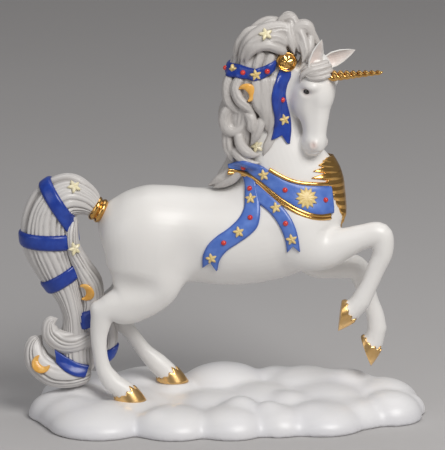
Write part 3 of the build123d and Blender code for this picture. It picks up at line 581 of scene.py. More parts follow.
# warm tint that fades with distance from a place on the head: forward, side, drop, reach, strength
blushes = {"nostril": (5.0, 5.6, 45.2, 1.9, 0.8), "eye": (3.6, 9.3, 18.4, 2.2, 0.45)}
upperBlush = np.zeros(len(upperSkin[0]))
for forward, out, drop, reach, strength in blushes.values():
    for side in sides:
        away = np.linalg.norm(upperSkin[0] - headPoint(forward, out * side, drop), axis=1)
        upperBlush += strength * np.exp(-(away / reach) ** 2)
piece("headSkin", upperSkin, whiteGlaze, ("neck", "head"), {"blush": upperBlush})


# hair: oval tubes with strands cut along them; the groove value paints shade into the grooves, darkening the
# glaze there

# strands: 1 - depth * (1 - |sin(count / 2 * turn)|) ** 1.7, and the same again finer; the turn is warped,
# so that the strands' widths differ round the lock and drift along it
def strandSwell(count, depth, twist, seed, fine):
    def swell(s, t):
        warped = t + 0.30 * np.sin(2 * t + seed) + 0.16 * np.sin(5 * t + 2.3 * seed)
        warped = warped + 0.10 * np.sin(9 * s + 3 * t + seed) + twist * s
        ridge = np.abs(np.sin(0.5 * count * warped))
        uneven = 0.62 + 0.38 * np.sin(3 * t + 1.9 * seed + 2.5 * s)
        finer = np.abs(np.sin(1.5 * count * warped + seed))
        return 1 - depth * uneven * (1 - ridge) ** 1.7 - fine * depth * (1 - finer) ** 1.6
    return swell


# one lock and its groove values, which paint shade between the strands: a short rounded root, and a tip drawn
# out to a point
def lock(rows, strands, depth, n, m, twist, seed=0.0, blunt=0.1, taper=0.45, fine=0.34):
    table = evened(rows, n)
    s = np.linspace(0, 1, n)
    root = np.sqrt(np.clip(1 - (1 - np.clip(s / blunt, 0, 1)) ** 2, 0.02, 1))
    tip = np.clip(1 - np.clip((s - 1 + taper) / taper, 0, 1) ** 1.8, 0.03, 1)
    table[:, 3:5] *= (root * tip)[:, None]
    swell = strandSwell(strands, depth, twist, seed, fine)
    cut = (1 - swell(s[:, None], angles(m)[None, :])) / depth
    groove = np.clip(cut, 0, 1) ** 1.3
    poles = (0.3, 0.3)  # the groove values of the two end points
    return closedTube(tube(table, n, m, swell=swell)), np.r_[groove.ravel(), poles]


maneRows = [
    (33, -3, 203, 4, 3.5), (28, -3, 197.5, 8, 11.5), (22, -3, 187, 11, 14.5), (16, -3, 175, 12.5, 12.5),
    (13, -3, 162, 12.5, 11.5), (11, -2.5, 149.5, 11.5, 10.5), (10.5, -2, 139, 10, 8),
    (7, -1, 129.5, 8, 6.2), (0, 0, 121.5, 5.6, 4.2), (-7, 0, 117.8, 3.4, 1.9),
]
# mane locks over the mass: photo u, v, depth y, half width across Y and half depth in the side view
maneLocks = {
    "crest": [
        (292, 27, -5, 3.4, 3.4), (280, 30.5, -6, 4, 3.6), (270, 32, -7, 4, 3.6), (262, 37, -7.5, 3.6, 3.2),
        (256, 46, -8, 3, 2.8)],
    "lobe": [
        (262, 37, -5.5, 1.8, 1.6), (257, 33, -5.5, 2.6, 2.8), (250, 34.5, -5.5, 3, 3.4),
        (243, 42, -5.5, 3, 3.4), (237, 52, -5.5, 2.6, 3), (234, 64, -5.5, 2, 2.2)],
    "sweepUpper": [
        (294, 36, -9, 2.6, 3), (282, 31, -10, 3.4, 4), (267, 33, -11.5, 3.6, 4.4), (252, 41, -12, 3.4, 4),
        (242, 54, -10.5, 2.8, 3.2), (238, 66, -9, 2, 2.2)],
    "sweepMiddle": [
        (287, 48, -11.5, 2.4, 2.8), (278, 41, -13, 3.2, 3.6), (266, 41, -14, 3.4, 3.8),
        (253, 46, -14, 3.2, 3.6), (244, 56, -12.5, 2.8, 3), (240, 68, -11, 2, 2)],
    "sweepLower": [
        (286, 55, -13, 2, 2.2), (277, 50, -14.5, 2.8, 2.8), (266, 47, -15.3, 3, 3),
        (255, 50, -15, 2.8, 2.8), (248, 58, -13.5, 2.4, 2.4), (245, 70, -12, 1.8, 1.8)],
    "recessOne": [
        (262, 52, -13, 2, 2.2), (259, 60, -13.5, 2.4, 2.6), (256, 70, -14, 2.4, 2.4),
        (254, 80, -14, 2, 2)],
    "recessTwo": [
        (272, 54, -13, 2, 2.2), (269, 62, -13.6, 2.4, 2.6), (266, 70, -14.2, 2.4, 2.4),
        (264, 80, -14, 2, 2)],
    "peakFront": [
        (300, 48, -10, 2.2, 2.6), (295, 34, -9, 3, 3.2), (289, 20, -7, 3, 3.2), (283, 22, -7, 2.6, 2.8),
        (281, 36, -9.5, 2.6, 2.8), (284, 52, -12.5, 2, 2)],
    "peakBack": [
        (297, 42, -3, 3, 3.2), (294, 28, -3, 3.4, 3.6), (288, 19.5, -3, 3.4, 3.6), (281, 26, -3, 3, 3.2),
        (277, 37, -4, 2, 2.2)],
    "peakFall": [
        (288, 24, -9, 2, 2), (288, 35, -11, 2.4, 2.6), (291, 46, -12.5, 2.4, 2.6),
        (294, 57, -13.5, 1.8, 1.8)],
    "pollRoll": [
        (318, 47, -7, 1.8, 2), (311, 37, -8, 2.8, 3), (304, 28, -8.5, 3.4, 3.8), (297, 30, -9, 3.2, 3.4),
        (296, 42, -11, 2.8, 2.8), (299, 56, -13.5, 2.2, 2.2)],
    "pollFall": [
        (298, 30, -10, 2.2, 2.4), (302, 42, -11.5, 2.6, 2.8), (304, 54, -13.5, 2.6, 2.6),
        (301, 66, -15, 1.8, 1.8)],
    "pollInner": [
        (309, 36, -9, 2, 2.2), (309, 47, -11, 2.4, 2.6), (308, 58, -13, 2.2, 2.4),
        (305, 68, -14.5, 1.6, 1.6)],
    "sheetFront": [
        (272, 76, -13.5, 2.4, 2.8), (272, 92, -14.3, 3, 3.4), (271, 108, -14.2, 3, 3.4),
        (270, 124, -13.2, 2.6, 3), (268, 140, -12, 1.8, 2.2)],
    "sheetMiddle": [
        (264, 77, -14.5, 2.4, 2.8), (264, 92, -15.2, 3, 3.4), (264, 107, -15.2, 3, 3.4),
        (265, 121, -14.4, 2.6, 3), (266, 134, -13, 1.8, 2)],
    "sheetRear": [
        (256, 78, -14.6, 2.4, 2.6), (256, 91, -15.4, 2.8, 3.2), (257, 103, -15.4, 2.8, 3.2),
        (261, 114, -14.8, 2.2, 2.6), (264, 124, -14, 1.4, 1.6)],
    "eddy": [
        (242, 77, -13, 2.2, 2.4), (236, 88, -13.6, 2.8, 3), (239, 100, -14.6, 3, 3),
        (248, 109, -15.4, 2.8, 2.8), (257, 118, -14.8, 2, 2)],
    "edgeUpper": [
        (231, 76, -9.5, 2.4, 2.6), (228, 88, -10.5, 3, 3.2), (229, 100, -11, 3, 3.2),
        (236, 110, -12.4, 2.6, 2.8), (245, 118, -13.4, 1.8, 2)],
    "scroll": [
        (236, 108, -10.5, 2.2, 2.4), (228, 111, -10.5, 3, 3.2), (225, 119, -10, 3.4, 3.6),
        (227, 128, -10.5, 3.4, 3.4), (234, 132, -12, 3, 3), (241, 128, -13.2, 2.6, 2.6),
        (243, 119, -13.6, 2, 2)],
    "hook": [
        (246, 112, -14.2, 2, 2.2), (251, 120, -15, 2.6, 2.8), (252, 129, -15, 2.6, 2.8),
        (258, 136, -14, 1.8, 1.9)],
    "waveOne": [
        (262, 118, -14, 2, 2.2), (259, 128, -14.6, 2.6, 2.8), (255, 138, -14.2, 2.4, 2.6),
        (250, 147, -13.4, 1.6, 1.8)],
    "edgeLower": [
        (229, 130, -9, 2.6, 2.8), (228, 142, -9.5, 3, 3.2), (231, 154, -9.5, 2.8, 3),
        (234, 164, -9, 2, 2.2)],
    "sweepDown": [
        (238, 132, -12.5, 2.2, 2.4), (241, 146, -13.4, 2.8, 2.8), (252, 155, -13.4, 2.6, 2.6),
        (262, 155, -12.8, 1.6, 1.6)],
    "sweepLast": [
        (233, 148, -11, 2.2, 2.4), (240, 157, -12, 2.8, 2.8), (250, 163, -12.6, 2.4, 2.4),
        (262, 163, -12.8, 1.4, 1.4)],
    "neckStrand": [
        (275, 126, -11.2, 1.4, 2), (271, 138, -11.8, 1.8, 2.6), (266, 149, -12.2, 1.8, 2.4),
        (262, 158, -12, 1.2, 1.4)],
    "withersUpper": [
        (233, 166, -7, 2, 2.4), (228, 174, -5.5, 2.4, 2.8), (218, 180, -4, 2.4, 2.4),
        (207, 186, -2, 1.6, 1.4)],
    "withersLower": [
        (240, 172, -9, 1.6, 2), (233, 179, -8, 2.2, 2.4), (223, 184, -6, 2.2, 2),
        (211, 188, -4, 1.4, 1.2)],
}
backLocks = {
    "backUpper": [
        (242, 50, -3, 3.4, 3), (236, 64, -3, 3.8, 3.4), (232, 78, -3, 3.8, 3.2), (230, 92, -3, 3, 2.6)],
    "backMiddle": [
        (231, 84, -3, 3, 2.8), (229, 98, -3, 3.8, 3.4), (228, 112, -3, 4, 3.6), (230, 126, -3, 3, 2.6)],
    "backLower": [
        (231, 118, -3, 3, 2.8), (233, 134, -3, 3.8, 3.4), (235, 150, -3, 3.6, 3.2),
        (236, 166, -3, 2.6, 2.4)],
}
forelockLocks = {
    "forelockUpper": [
        (331, 67, -14, 1.6, 1.5), (319, 70.5, -16.5, 2, 2), (308, 73, -17.5, 2, 2.2),
        (300.5, 78, -17, 1.8, 1.9), (299, 85, -16, 1, 1)],
    "forelockMiddle": [
        (332, 71, -15.5, 1.4, 1.4), (320, 75, -18, 1.8, 1.9), (309, 76.5, -18.5, 1.8, 1.9),
        (303, 73, -18, 1.2, 1.2)],
    "forelockLower": [
        (330, 76, -17, 1.2, 1.2), (320, 79.5, -19, 1.6, 1.5), (310, 80, -19, 1.4, 1.5),
        (303, 76.5, -18.4, 1, 0.85)],
    "forelockTop": [
        (328, 63, -12.5, 1.6, 1.5), (317, 67, -15, 2, 1.8), (306, 69, -16, 2, 1.9),
        (298, 73, -15.5, 1.2, 1.2)],
}
maneStyle = {"strands": 24, "depth": 0.12, "n": 110, "m": 100, "twist": 0.4, "blunt": 0.05, "taper": 0.1}
lockStyle = {"strands": 8, "depth": 0.27, "n": 60, "m": 80}
forelockStyle = {"strands": 6, "depth": 0.18, "n": 40, "m": 36, "twist": 0.4}
# maneCast: softness of the join, easing rounds, spread of the crease measure, and the strength of the shade
# painted into the mane's creases
maneCast = {"soft": 0.6, "rounds": 1, "spread": 1.0, "grooveShade": 1.6}
farStyle = {"middle": -3.0, "drop": 5.5, "from": 165.0, "over": 20.0, "nearerThan": -3.5}


# the far side's locks: the near ones carried over the mane's middle plane, lying lower near the crest
def farSide(rows):
    out = rows.copy()
    out[:, 1] = 2 * farStyle["middle"] - out[:, 1]
    out[:, 2] -= farStyle["drop"] * np.clip((rows[:, 2] - farStyle["from"]) / farStyle["over"], 0, 1)
    return out


maneParts = [lock(maneRows, **maneStyle)]
for k, rows in enumerate(maneLocks.values()):
    near = fromPhoto(rows)
    maneParts.append(lock(near, **lockStyle, twist=0.5, seed=k * 0.7))
    if near[:, 1].max() < farStyle["nearerThan"]:
        maneParts.append(lock(farSide(near), **lockStyle, twist=-0.5, seed=k * 0.9))
for k, rows in enumerate(backLocks.values()):
    maneParts.append(lock(fromPhoto(rows), **lockStyle, twist=0.4, seed=k * 1.3))
maneSpace = lattice(low=(-14, -26, 112), high=(58, 22, 212), step=0.42)
maneField = castHair([shape for shape, _ in maneParts], maneSpace, maneCast["soft"])
maneSkin = skinOf(maneField, maneSpace, maneCast["rounds"])
# the mane's groove value is its crease measure scaled up: painted shade in the hollows between its locks
piece("maneHair", maneSkin, hairGlaze, (
    "mane", "mane_peak_lock", "mane_poll_roll", "mane_brow_wave", "mane_rear_lock", "mane_scroll_lock",
    "mane_side_lock", "mane_lower_lock", "mane_far_upper_lock", "mane_far_lower_lock"),
    {"groove": maneCast["grooveShade"] * creaseOf(maneSkin, maneField, maneSpace, maneCast["spread"])})
# forelock: its groove values paint shade between the strands
forelockParts = []
for k, rows in enumerate(forelockLocks.values()):
    forelockParts.append(lock(fromPhoto(rows), **forelockStyle, seed=k * 0.8))
valuedPiece("forelockHair", forelockParts, hairGlaze, ("forelock",), "groove")

tailRows = [
    (-62.5, 0, 106, 4.4, 4.4), (-69.5, 0, 111, 8, 9), (-76, 0, 112.5, 11, 12), (-83.5, 0, 108, 12, 13),
    (-86.5, 0, 99.5, 12, 14), (-86, 0, 89, 12, 14.2), (-83, 0, 79, 11, 12.4), (-79, 0, 68.5, 9.5, 9.6),
    (-76, 0, 59.3, 8, 7), (-74, 0, 50, 7.2, 6.2), (-73.2, 0, 41, 7.8, 8.6), (-73.6, -0.5, 32.5, 8.4, 10.2),
    (-72.5, 0, 24.5, 7.8, 8.8), (-71, 1, 17.5, 4.6, 4.8),
]
tailLocks = {
    "side": [
        (-74, -3, 104, 4, 2.5), (-75.5, -3.5, 96, 8, 3.6), (-75, -3.5, 88, 8.4, 4),
        (-71, -2, 78, 8.2, 5.2), (-66.5, 0, 67.5, 7.6, 6.8), (-65.5, 0.5, 57, 6.6, 5.8),
        (-67.5, 0, 49, 6, 5.4), (-69, -1, 41.5, 4.8, 4.6)],
    "upperCurl": [
        (-65.5, -3, 41.5, 4.5, 4.5), (-74, -5, 38.5, 5.5, 5.8), (-81.5, -5.5, 39.5, 5, 5.6),
        (-86.3, -5, 44, 4, 4.6), (-86, -4.5, 49, 2.8, 3.2), (-82.5, -4, 50.8, 1.4, 1.6)],
    "lowerCurl": [
        (-66, -3, 22.5, 5, 4.5), (-76, -4.5, 21.5, 7, 6.4), (-86.5, -4, 23.5, 7.4, 7.2),
        (-93, -3, 29.5, 6.2, 6.6), (-93.8, -2, 37, 4, 4.6), (-90.5, -1.5, 41.8, 1.6, 1.8)],
    "inner": [
        (-69, 4, 45, 3.5, 3), (-62.5, 6, 49, 4, 3.6), (-57.4, 6.5, 46, 4.2, 3.6), (-55.8, 6, 38, 4, 3.3),
        (-57.5, 5, 30, 3.6, 3), (-62.5, 3.5, 22, 2, 2)],
}
tailStyle = {"strands": 20, "depth": 0.22, "n": 220, "m": 160, "twist": 0.25, "blunt": 0.02, "taper": 0.06,
             "fine": 0.05}
tailLockStyle = {"strands": 11, "depth": 0.24, "n": 90, "m": 96, "twist": 0.3, "blunt": 0.08, "taper": 0.1,
                 "fine": 0.05}
# tail: its groove values paint shade between the strands
tailParts = [lock(tailRows, **tailStyle)]
for k, rows in enumerate(tailLocks.values()):
    tailParts.append(lock(rows, **tailLockStyle, seed=k * 1.1))
tailNodes = ("tail_main", "tail_side_lock", "tail_upper_curl", "tail_lower_curl", "tail_inner_lock")
valuedPiece("tailHair", tailParts, tailGlaze, tailNodes, "groove")

# hooves: a gilt shell with a toothed upper edge, like hair lying over the hoof
shellStyle = {"thickness": 0.5, "teeth": 11, "tooth": 2.6, "edge": 0.34, "above": 0.35, "sole": 0.86,
              "lip": 0.07, "around": 72, "levels": 8, "rings": 40}


# rings of the hoof from the toothed edge down to the sole, with a lip turned in at the top
def hoofShell(name):
    h = shellStyle
    t = angles(h["around"])
    wave = np.abs(((t * h["teeth"] / (2 * np.pi)) % 1) - 0.5) * h["tooth"] / hoofSize["height"]
    tooth = h["edge"] - wave * (1.3 + 0.7 * np.sin(3 * t + 1))
    shares = np.linspace(-h["above"], 1, h["rings"])
    rings = np.stack([hoofRing(name, share, h["thickness"], h["around"]) for share in shares])
    share = tooth[None, :] + (1 - tooth[None, :]) * np.linspace(0, 1, h["levels"])[:, None]
    index = np.clip((share + h["above"]) / (1 + h["above"]) * (h["rings"] - 1), 0, h["rings"] - 1.001)
    low = index.astype(int)
    part = (index - low)[..., None]
    column = np.arange(h["around"])[None, :]
    outer = rings[low, column] * (1 - part) + rings[low + 1, column] * part
    centre = rings.mean(1)
    core = centre[low[0]] * (1 - part[0]) + centre[low[0] + 1] * part[0]
    lip = outer[0] * (1 - h["lip"]) + core * h["lip"]
    sole = rings[-1].mean(0) + (rings[-1] - rings[-1].mean(0)) * h["sole"]
    return closedTube(np.concatenate([lip[None], outer, sole[None]]))


for name, node in (("rightHind", "right_hind_hoof"), ("leftHind", "left_hind_hoof"),
                   ("rightFore", "right_fore_hoof"), ("leftFore", "left_fore_hoof")):
    piece(name + "Hoof", hoofShell(name), hoofGilt, (node,))

# laid work: ribbons, trims and ornaments follow the skin and the hair below them

tailSpace = lattice(low=(-104, -16, 10), high=(-46, 16, 130), step=0.7)
tailField = fieldOf(gathered([shape for shape, _ in tailParts]), tailSpace)
skinGround = [(wholeField, bodySpace)]
dressGround = [(wholeField, bodySpace), (maneField, maneSpace)]
tailGround = [(tailField, tailSpace)]
headGround = [(headField, headSpace)]
sideStart = 40.0  # lines towards the figure start this far out to the side
missReach = 30.0  # a line that stays farther out than this has met nothing


# each value towards its neighbours' mean, the rim kept
def eased(grid, rounds):
    grid = grid.copy()
    for _ in range(rounds):
        grid[1:-1] += 0.5 * ((grid[:-2] + grid[2:]) / 2 - grid[1:-1])
        grid[:, 1:-1] += 0.5 * ((grid[:, :-2] + grid[:, 2:]) / 2 - grid[:, 1:-1])
    return grid


# the outermost of each value and its neighbours on that side
def outermost(grid, side):
    pad = np.pad(grid * side, 1, mode="edge")
    n, m = grid.shape
    return side * np.max([pad[i:i + n, j:j + m] for i in range(3) for j in range(3)], axis=0)


# ribbon points in the side view, between two edges, with a swallow tail: the far end's middle is drawn back;
# no point lies further in than the least reach, where a line that meets nothing is laid
def sidePoints(grounds, edges, side, n, m, notch=0.0, skew=0.0, rounds=6, least=-farOff):
    e = np.array(edges, float)
    rows = np.stack([(e[:, 0] + e[:, 2]) / 2, 0 * e[:, 0], (e[:, 1] + e[:, 3]) / 2,
                     (e[:, 2] - e[:, 0]) / 2, (e[:, 3] - e[:, 1]) / 2], -1)
    dense = 4 * n
    table = evened(rows, dense)
    length = np.linalg.norm(np.diff(table[:, :3], axis=0), axis=1).sum()
    u = np.linspace(-1, 1, m)
    back = notch * (1 - np.abs(u)) - skew * u
    s = np.linspace(0, 1, n)[:, None]
    index = np.clip(s * (1 - back[None, :] / length), 0, 1) * (dense - 1)
    low = np.minimum(index.astype(int), dense - 2)
    f = (index - low)[..., None]
    row = table[low] * (1 - f) + table[low + 1] * f
    start = np.stack([row[..., 0] + row[..., 3] * u, np.full((n, m), sideStart * side),
                      row[..., 2] + row[..., 4] * u], -1)
    points = landing(grounds, start, -faceOut[side])
    reached = side * points[..., 1]
    reached = np.where(reached > missReach, least, np.maximum(reached, least))
    points[..., 1] = outermost(side * reached, side)
    points[..., 1:2] = eased(points[..., 1:2], rounds)
    return points


# one ribbon's points on each side
def bothSides(grounds, edges, **values):
    return {side: sidePoints(grounds, edges, side, **values) for side in sides}


# line: a shallow groove along each edge, at this share of the half width
ribbonStyle = {"thickness": 1.15, "under": 0.6, "line": 0.84, "lineWidth": 0.05, "lineDepth": 0.10,
               "rim": 0.10}


# the way out of a laid grid on the side that it faces
def gridNormals(points, towards):
    normal = unit(np.cross(np.gradient(points, axis=0), np.gradient(points, axis=1)))
    return normal * np.sign((normal * towards).sum(-1, keepdims=True))


# ribbon: laid points lifted along their normals by a thickness that rounds off at both edges
def ribbonShape(points, towards, thick):
    n, m, _ = points.shape
    normal = gridNormals(points, towards)
    u = np.abs(np.linspace(-1, 1, m))
    line = np.exp(-((u - ribbonStyle["line"]) / ribbonStyle["lineWidth"]) ** 2)
    height = thick * (0.55 + 0.45 * (1 - u ** 6) - ribbonStyle["lineDepth"] * line)
    top = points + normal * height[None, :, None]
    bottom = (points - normal * ribbonStyle["under"])[:, ::-1]
    loop = np.concatenate([top, bottom], axis=1)
    k = 2 * m
    c = np.arange(m - 1)
    first = np.stack([c, k - 1 - c, k - 2 - c, c + 1], -1)
    last = (n - 1) * k + np.stack([c, c + 1, k - 2 - c, k - 1 - c], -1)
    edge = np.clip(np.exp(-((1 - u) / ribbonStyle["rim"]) ** 2) + 0.55 * line, 0, 1)
    edges = np.broadcast_to(np.r_[edge, edge], (n, k)).ravel()
    return outward(loop.reshape(-1, 3), np.vstack([gridQuads(n, k), first, last]), noTriangles), edges


# one ribbon on each side, as one piece
def laidPair(name, points, material, nodes, thick=ribbonStyle["thickness"]):
    ribbons = [ribbonShape(points[side], faceOut[side], thick) for side in sides]
    valuedPiece(name, ribbons, material, nodes, "edge")


# edges in the side view: x and z of one edge, x and z of the other
collarEdges = [
    (3.5, 131.3, 3, 129), (10, 134.5, 11, 128), (15, 133.2, 15.3, 125.6), (20, 131, 19.5, 123),
    (25.5, 127.6, 23, 120.3), (31, 124.6, 28, 116.5), (37, 122.7, 34.5, 112.6), (43, 121.8, 41, 109.3),
    (47.5, 121.4, 46.5, 107.5), (51, 121.1, 50.6, 106.9), (53.8, 120.7, 55.2, 107.1),
]
rearStreamerEdges = [
    (9.5, 127, 16, 124.5), (11.2, 121.5, 17.4, 119), (11.2, 116, 18.5, 113.5), (10.5, 110, 18.6, 107),
    (8, 106, 17.5, 102.5), (3, 101.5, 14, 98.5), (-3, 97.4, 8, 94.2), (-7.5, 92.8, 2, 90),
    (-9.6, 88, -1, 86), (-10, 80, -2.6, 79.5),
]
frontStreamerEdges = [
    (13.5, 116.5, 17.5, 122), (17.2, 113.6, 21.5, 118.8), (20.4, 111.4, 25.6, 115.8),
    (24, 108.4, 30, 111.6), (27, 104.8, 33.5, 107.4), (29.4, 100.5, 36, 102.6), (31.2, 95.5, 37.6, 97),
    (32.2, 89, 38.6, 89.8),
]
cheekStreamerEdges = [
    (28.6, 181, 33.8, 181), (27.3, 178, 34, 178), (25.2, 172.5, 32, 172.5), (24.3, 167.9, 31.3, 167.9),
    (24.8, 162, 32.2, 162), (25.8, 156.6, 33.4, 156.6), (25.4, 150.5, 34, 150), (23.8, 143.5, 33.4, 142.5),
]
rearPoints = bothSides(dressGround, rearStreamerEdges, n=90, m=15, notch=4.5, skew=0.8)
frontPoints = bothSides(dressGround, frontStreamerEdges, n=70, m=15, notch=3.4, skew=0.2)
cheekPoints = bothSides(dressGround, cheekStreamerEdges, n=80, m=15, notch=4.2, skew=1.4)
collarPoints = bothSides(dressGround, collarEdges, n=90, m=17, rounds=10)
laidPair("collarRibbon", collarPoints, blueGlaze, ("collar",))
laidPair("rearStreamers", rearPoints, blueGlaze, ("rear_streamers",))
laidPair("frontStreamers", frontPoints, blueGlaze, ("front_streamers",))
laidPair("cheekStreamers", cheekPoints, deepBlueGlaze, ("cheek_streamers",))

# bridle ribbon: round the mane, its middle dipping and rising; lines run in to the mane's upright axis
# angle round the axis in degrees, height
bridlePath = [
    (-52, 182.6), (-66, 181.2), (-80, 179.4), (-95, 178.5), (-112, 179), (-132, 179.8), (-156, 179.5),
    (-180, 179.2), (-204, 179.5), (-228, 179.8), (-248, 179), (-265, 178.5), (-280, 179.4), (-294, 181.2),
    (-308, 182.6),
]
bridleStyle = {"width": 6.0, "axis": (17.0, -3.0), "start": 45.0, "rounds": 14, "n": 150, "m": 13}


# point = axis + (cos angle, sin angle) * the eased reach, at the height of the path
def bridlePoints(n, m):
    path = np.array(bridlePath, float)
    at = np.linspace(0, len(path) - 1, n)
    angle = np.radians(np.interp(at, np.arange(len(path)), path[:, 0]))
    height = np.interp(at, np.arange(len(path)), path[:, 1])
    u = np.linspace(-0.5, 0.5, m)
    out = np.stack([np.cos(angle), np.sin(angle), 0 * angle], -1)[:, None, :] + np.zeros((n, m, 3))
    mid = np.array([*bridleStyle["axis"], 0.0])
    start = mid + out * bridleStyle["start"]
    start[..., 2] = height[:, None] - u * bridleStyle["width"]
    points = landing(dressGround, start, -out)
    reach = np.linalg.norm((points - mid)[..., :2], axis=-1)
    reach = eased(outermost(outermost(reach, 1), 1)[..., None], bridleStyle["rounds"])
    points[..., :2] = mid[:2] + out[..., :2] * reach
    return points, out


bridle, bridleOut = bridlePoints(bridleStyle["n"], bridleStyle["m"])
valuedPiece("bridleRibbon", [ribbonShape(bridle, bridleOut, ribbonStyle["thickness"])], deepBlueGlaze,
            ("bridle_ribbon",), "edge")

# trim cords: round tubes along the collar's edges, a gap beyond the edge and a little out from the ground
topCord = {"start": 33, "gap": 0.7, "radius": 1.05, "lift": 0.5}
lowerCords = ({"gap": 0.6, "radius": 1.05, "lift": 0.5}, {"gap": 2.2, "radius": 0.8925, "lift": 0.3})
cordEase = {"rounds": 90, "every": 3, "dense": 4, "around": 16}


# a round tube on the eased line of an edge
def cord(points, side, style):
    lifted = points[:, None] + faceOut[side] * style["lift"]
    middle = eased(lifted, cordEase["rounds"])[::cordEase["every"], 0]
    rows = np.concatenate([middle, np.full((len(middle), 2), style["radius"])], axis=1)
    return tubeShape(rows, len(rows) * cordEase["dense"], cordEase["around"], upAxis)


topTrim, lowerTrim = [], []
for side in sides:
    upper, lower = collarPoints[side][:, 0], collarPoints[side][:, -1]
    away = unit(upper - lower)
    first = topCord["start"]
    topTrim.append(cord(upper[first:] + away[first:] * topCord["gap"], side, topCord))
    lowerTrim += [cord(lower - away * style["gap"], side, style) for style in lowerCords]
piece("collarTopTrim", gathered(topTrim), gilt, ("collar_top_trim",))
piece("collarLowerTrim", gathered(lowerTrim), gilt, ("collar_lower_trim",))

# chest plate: a gilt sheet over the chest; its sides end in ragged points, and shallow grooves run in between
# them; the points are smaller at the foot and fade out at the top
plateStyle = {"thickness": 1.9, "under": 0.6, "point": 3.2, "points": 13, "groove": 0.32, "start": 90.0,
              "foot": 104.0, "grown": 120.0, "least": 0.25, "top": 133.2, "fade": 3.0, "rounds": 3}
# height, reach to the side, lift of the edge
plateRows = [
    (95.5, 0.8, 0), (98, 3.6, 0.6), (102, 5.8, 1.2), (107, 7.6, 1.6), (112, 8.6, 1.4), (117, 9.2, 0.8),
    (121, 9.6, 0.6), (125, 9.8, 1.2), (128, 9.2, 1.8), (130.5, 7.4, 2.0), (132, 4.8, 1.6),
    (132.8, 2.0, 0.8),
]


# side = (reach + ragged point) * u; the height over the skin falls off as u ** 4, less the grooves
def plateShape(n=420, m=49):
    p = plateStyle
    s = np.linspace(0, 1, n)
    at = s * (len(plateRows) - 1)
    z, reach, lift = (np.interp(at, np.arange(len(plateRows)), column) for column in np.array(plateRows).T)
    u = np.linspace(-1, 1, m)
    turn = p["points"] * s
    saw = np.abs(2 * (turn - np.floor(turn + 0.5))) ** 1.3
    uneven = 0.75 + 0.35 * np.sin(7.3 * np.floor(turn + 0.5))
    grown = np.clip((z - p["foot"]) / (p["grown"] - p["foot"]), p["least"], 1)
    ragged = p["point"] * (1 - saw) * uneven * grown * np.clip((p["top"] - z) / p["fade"], 0, 1)
    start = np.stack([np.full((n, m), p["start"]), (reach + ragged)[:, None] * u,
                      z[:, None] + lift[:, None] * np.abs(u) ** 3], -1)
    points = eased(landing(skinGround, start, np.array([-1.0, 0, 0])), p["rounds"])
    normal = outOf(skinGround, points)
    height = p["thickness"] * (0.3 + 0.7 * (1 - np.abs(u) ** 4))
    height = height - p["groove"] * (np.abs(u) * (1 - np.abs(u) ** 8)) * saw[:, None]
    top = points + normal * height[..., None]
    bottom = (points - normal * p["under"])[:, ::-1]
    return closedTube(np.concatenate([top, bottom], axis=1))


piece("breastPlate", plateShape(), gilt, ("breast_plate",))

# tail bands: the strip of the smooth tail between two slanted planes, sunk under the hair beyond an inner x
bandStyle = {"sink": 5.0, "sinkOver": 2.0, "low": 0.35, "rise": 0.85, "under": 0.9, "rim": 0.16, "reach": 75}
# lock, place, lean in degrees, width, inner x
tailBands = {
    "tail_band_top": ("main", (-80.5, 0, 107.5), 57, 7.2, 0),
    "tail_band_middle": ("main", (-86, 0, 91.3), 1, 7.8, -76),
    "tail_band_lower": ("main", (-80, 0, 71.5), -32, 7.2, 0),
    "tail_band_side": ("side", (-67, 0, 50.6), -18, 8.6, 0),
    "tail_band_inner": ("inner", (-56.6, 5, 30), -28, 5.8, 0),
}
footBandThickness = 1.1
footBandEdges = [
    (-84, 35.8, -83.2, 29), (-80.6, 33.4, -81, 26.6), (-76.3, 30.8, -77.6, 24.2),
    (-71.6, 28.6, -73.6, 22.4), (-66.8, 27.4, -69.4, 21.6),
]


# on each line along the tube, the run from half a width below the slanted plane to half above it
def bandShape(lockName, place, lean, width, innerX, n=400, m=96, across=11):
    grid = tube(tailRows if lockName == "main" else tailLocks[lockName], n, m)
    near = int(np.argmin(np.linalg.norm(grid.mean(1) - place, axis=1)))
    part = grid[max(near - bandStyle["reach"], 0):min(near + bandStyle["reach"], n)]
    d = (part - place) @ np.array([math.sin(math.radians(lean)), 0, math.cos(math.radians(lean))])
    if d[0].mean() > d[-1].mean():
        part, d = part[::-1], d[::-1]
    d = np.maximum.accumulate(d, axis=0) + np.arange(len(d))[:, None] * 1e-6
    want = np.linspace(-width / 2, width / 2, across)
    strip = np.stack([np.stack([np.interp(want, d[:, j], part[:, j, c]) for c in range(3)], -1)
                      for j in range(m)], 1)
    out = unit(strip - strip.mean(1, keepdims=True))
    v = np.abs(np.linspace(-1, 1, across))
    lift = bandStyle["low"] + bandStyle["rise"] * (1 - v ** 6)
    strip = strip - out * bandStyle["sink"] * np.clip((strip[..., :1] - innerX) / bandStyle["sinkOver"], 0, 1)
    loop = np.concatenate([strip + out * lift[:, None, None], (strip - out * bandStyle["under"])[::-1]])
    edge = np.exp(-((1 - np.r_[v, v]) / bandStyle["rim"]) ** 2)
    quads = gridQuads(*loop.shape[:2], ring=True)
    return outward(loop.reshape(-1, 3), quads, noTriangles), np.repeat(edge, m)


for node, entry in tailBands.items():
    valuedPiece(node.replace("_", ""), [bandShape(*entry)], deepBlueGlaze, (node,), "edge")
footPoints = bothSides(tailGround, footBandEdges, n=60, m=17, rounds=14, least=8.0)
laidPair("tailbandfoot", footPoints, deepBlueGlaze, ("tail_band_foot",), footBandThickness)

# tail ring: a turned sleeve with round beads side by side
ringStyle = {"centre": (-60.8, 0, 105.2), "axis": (-0.89, 0, 0.45), "radius": 5.1, "bead": 1.25, "beads": 3,
             "length": 9.0, "rings": 80, "around": 64}


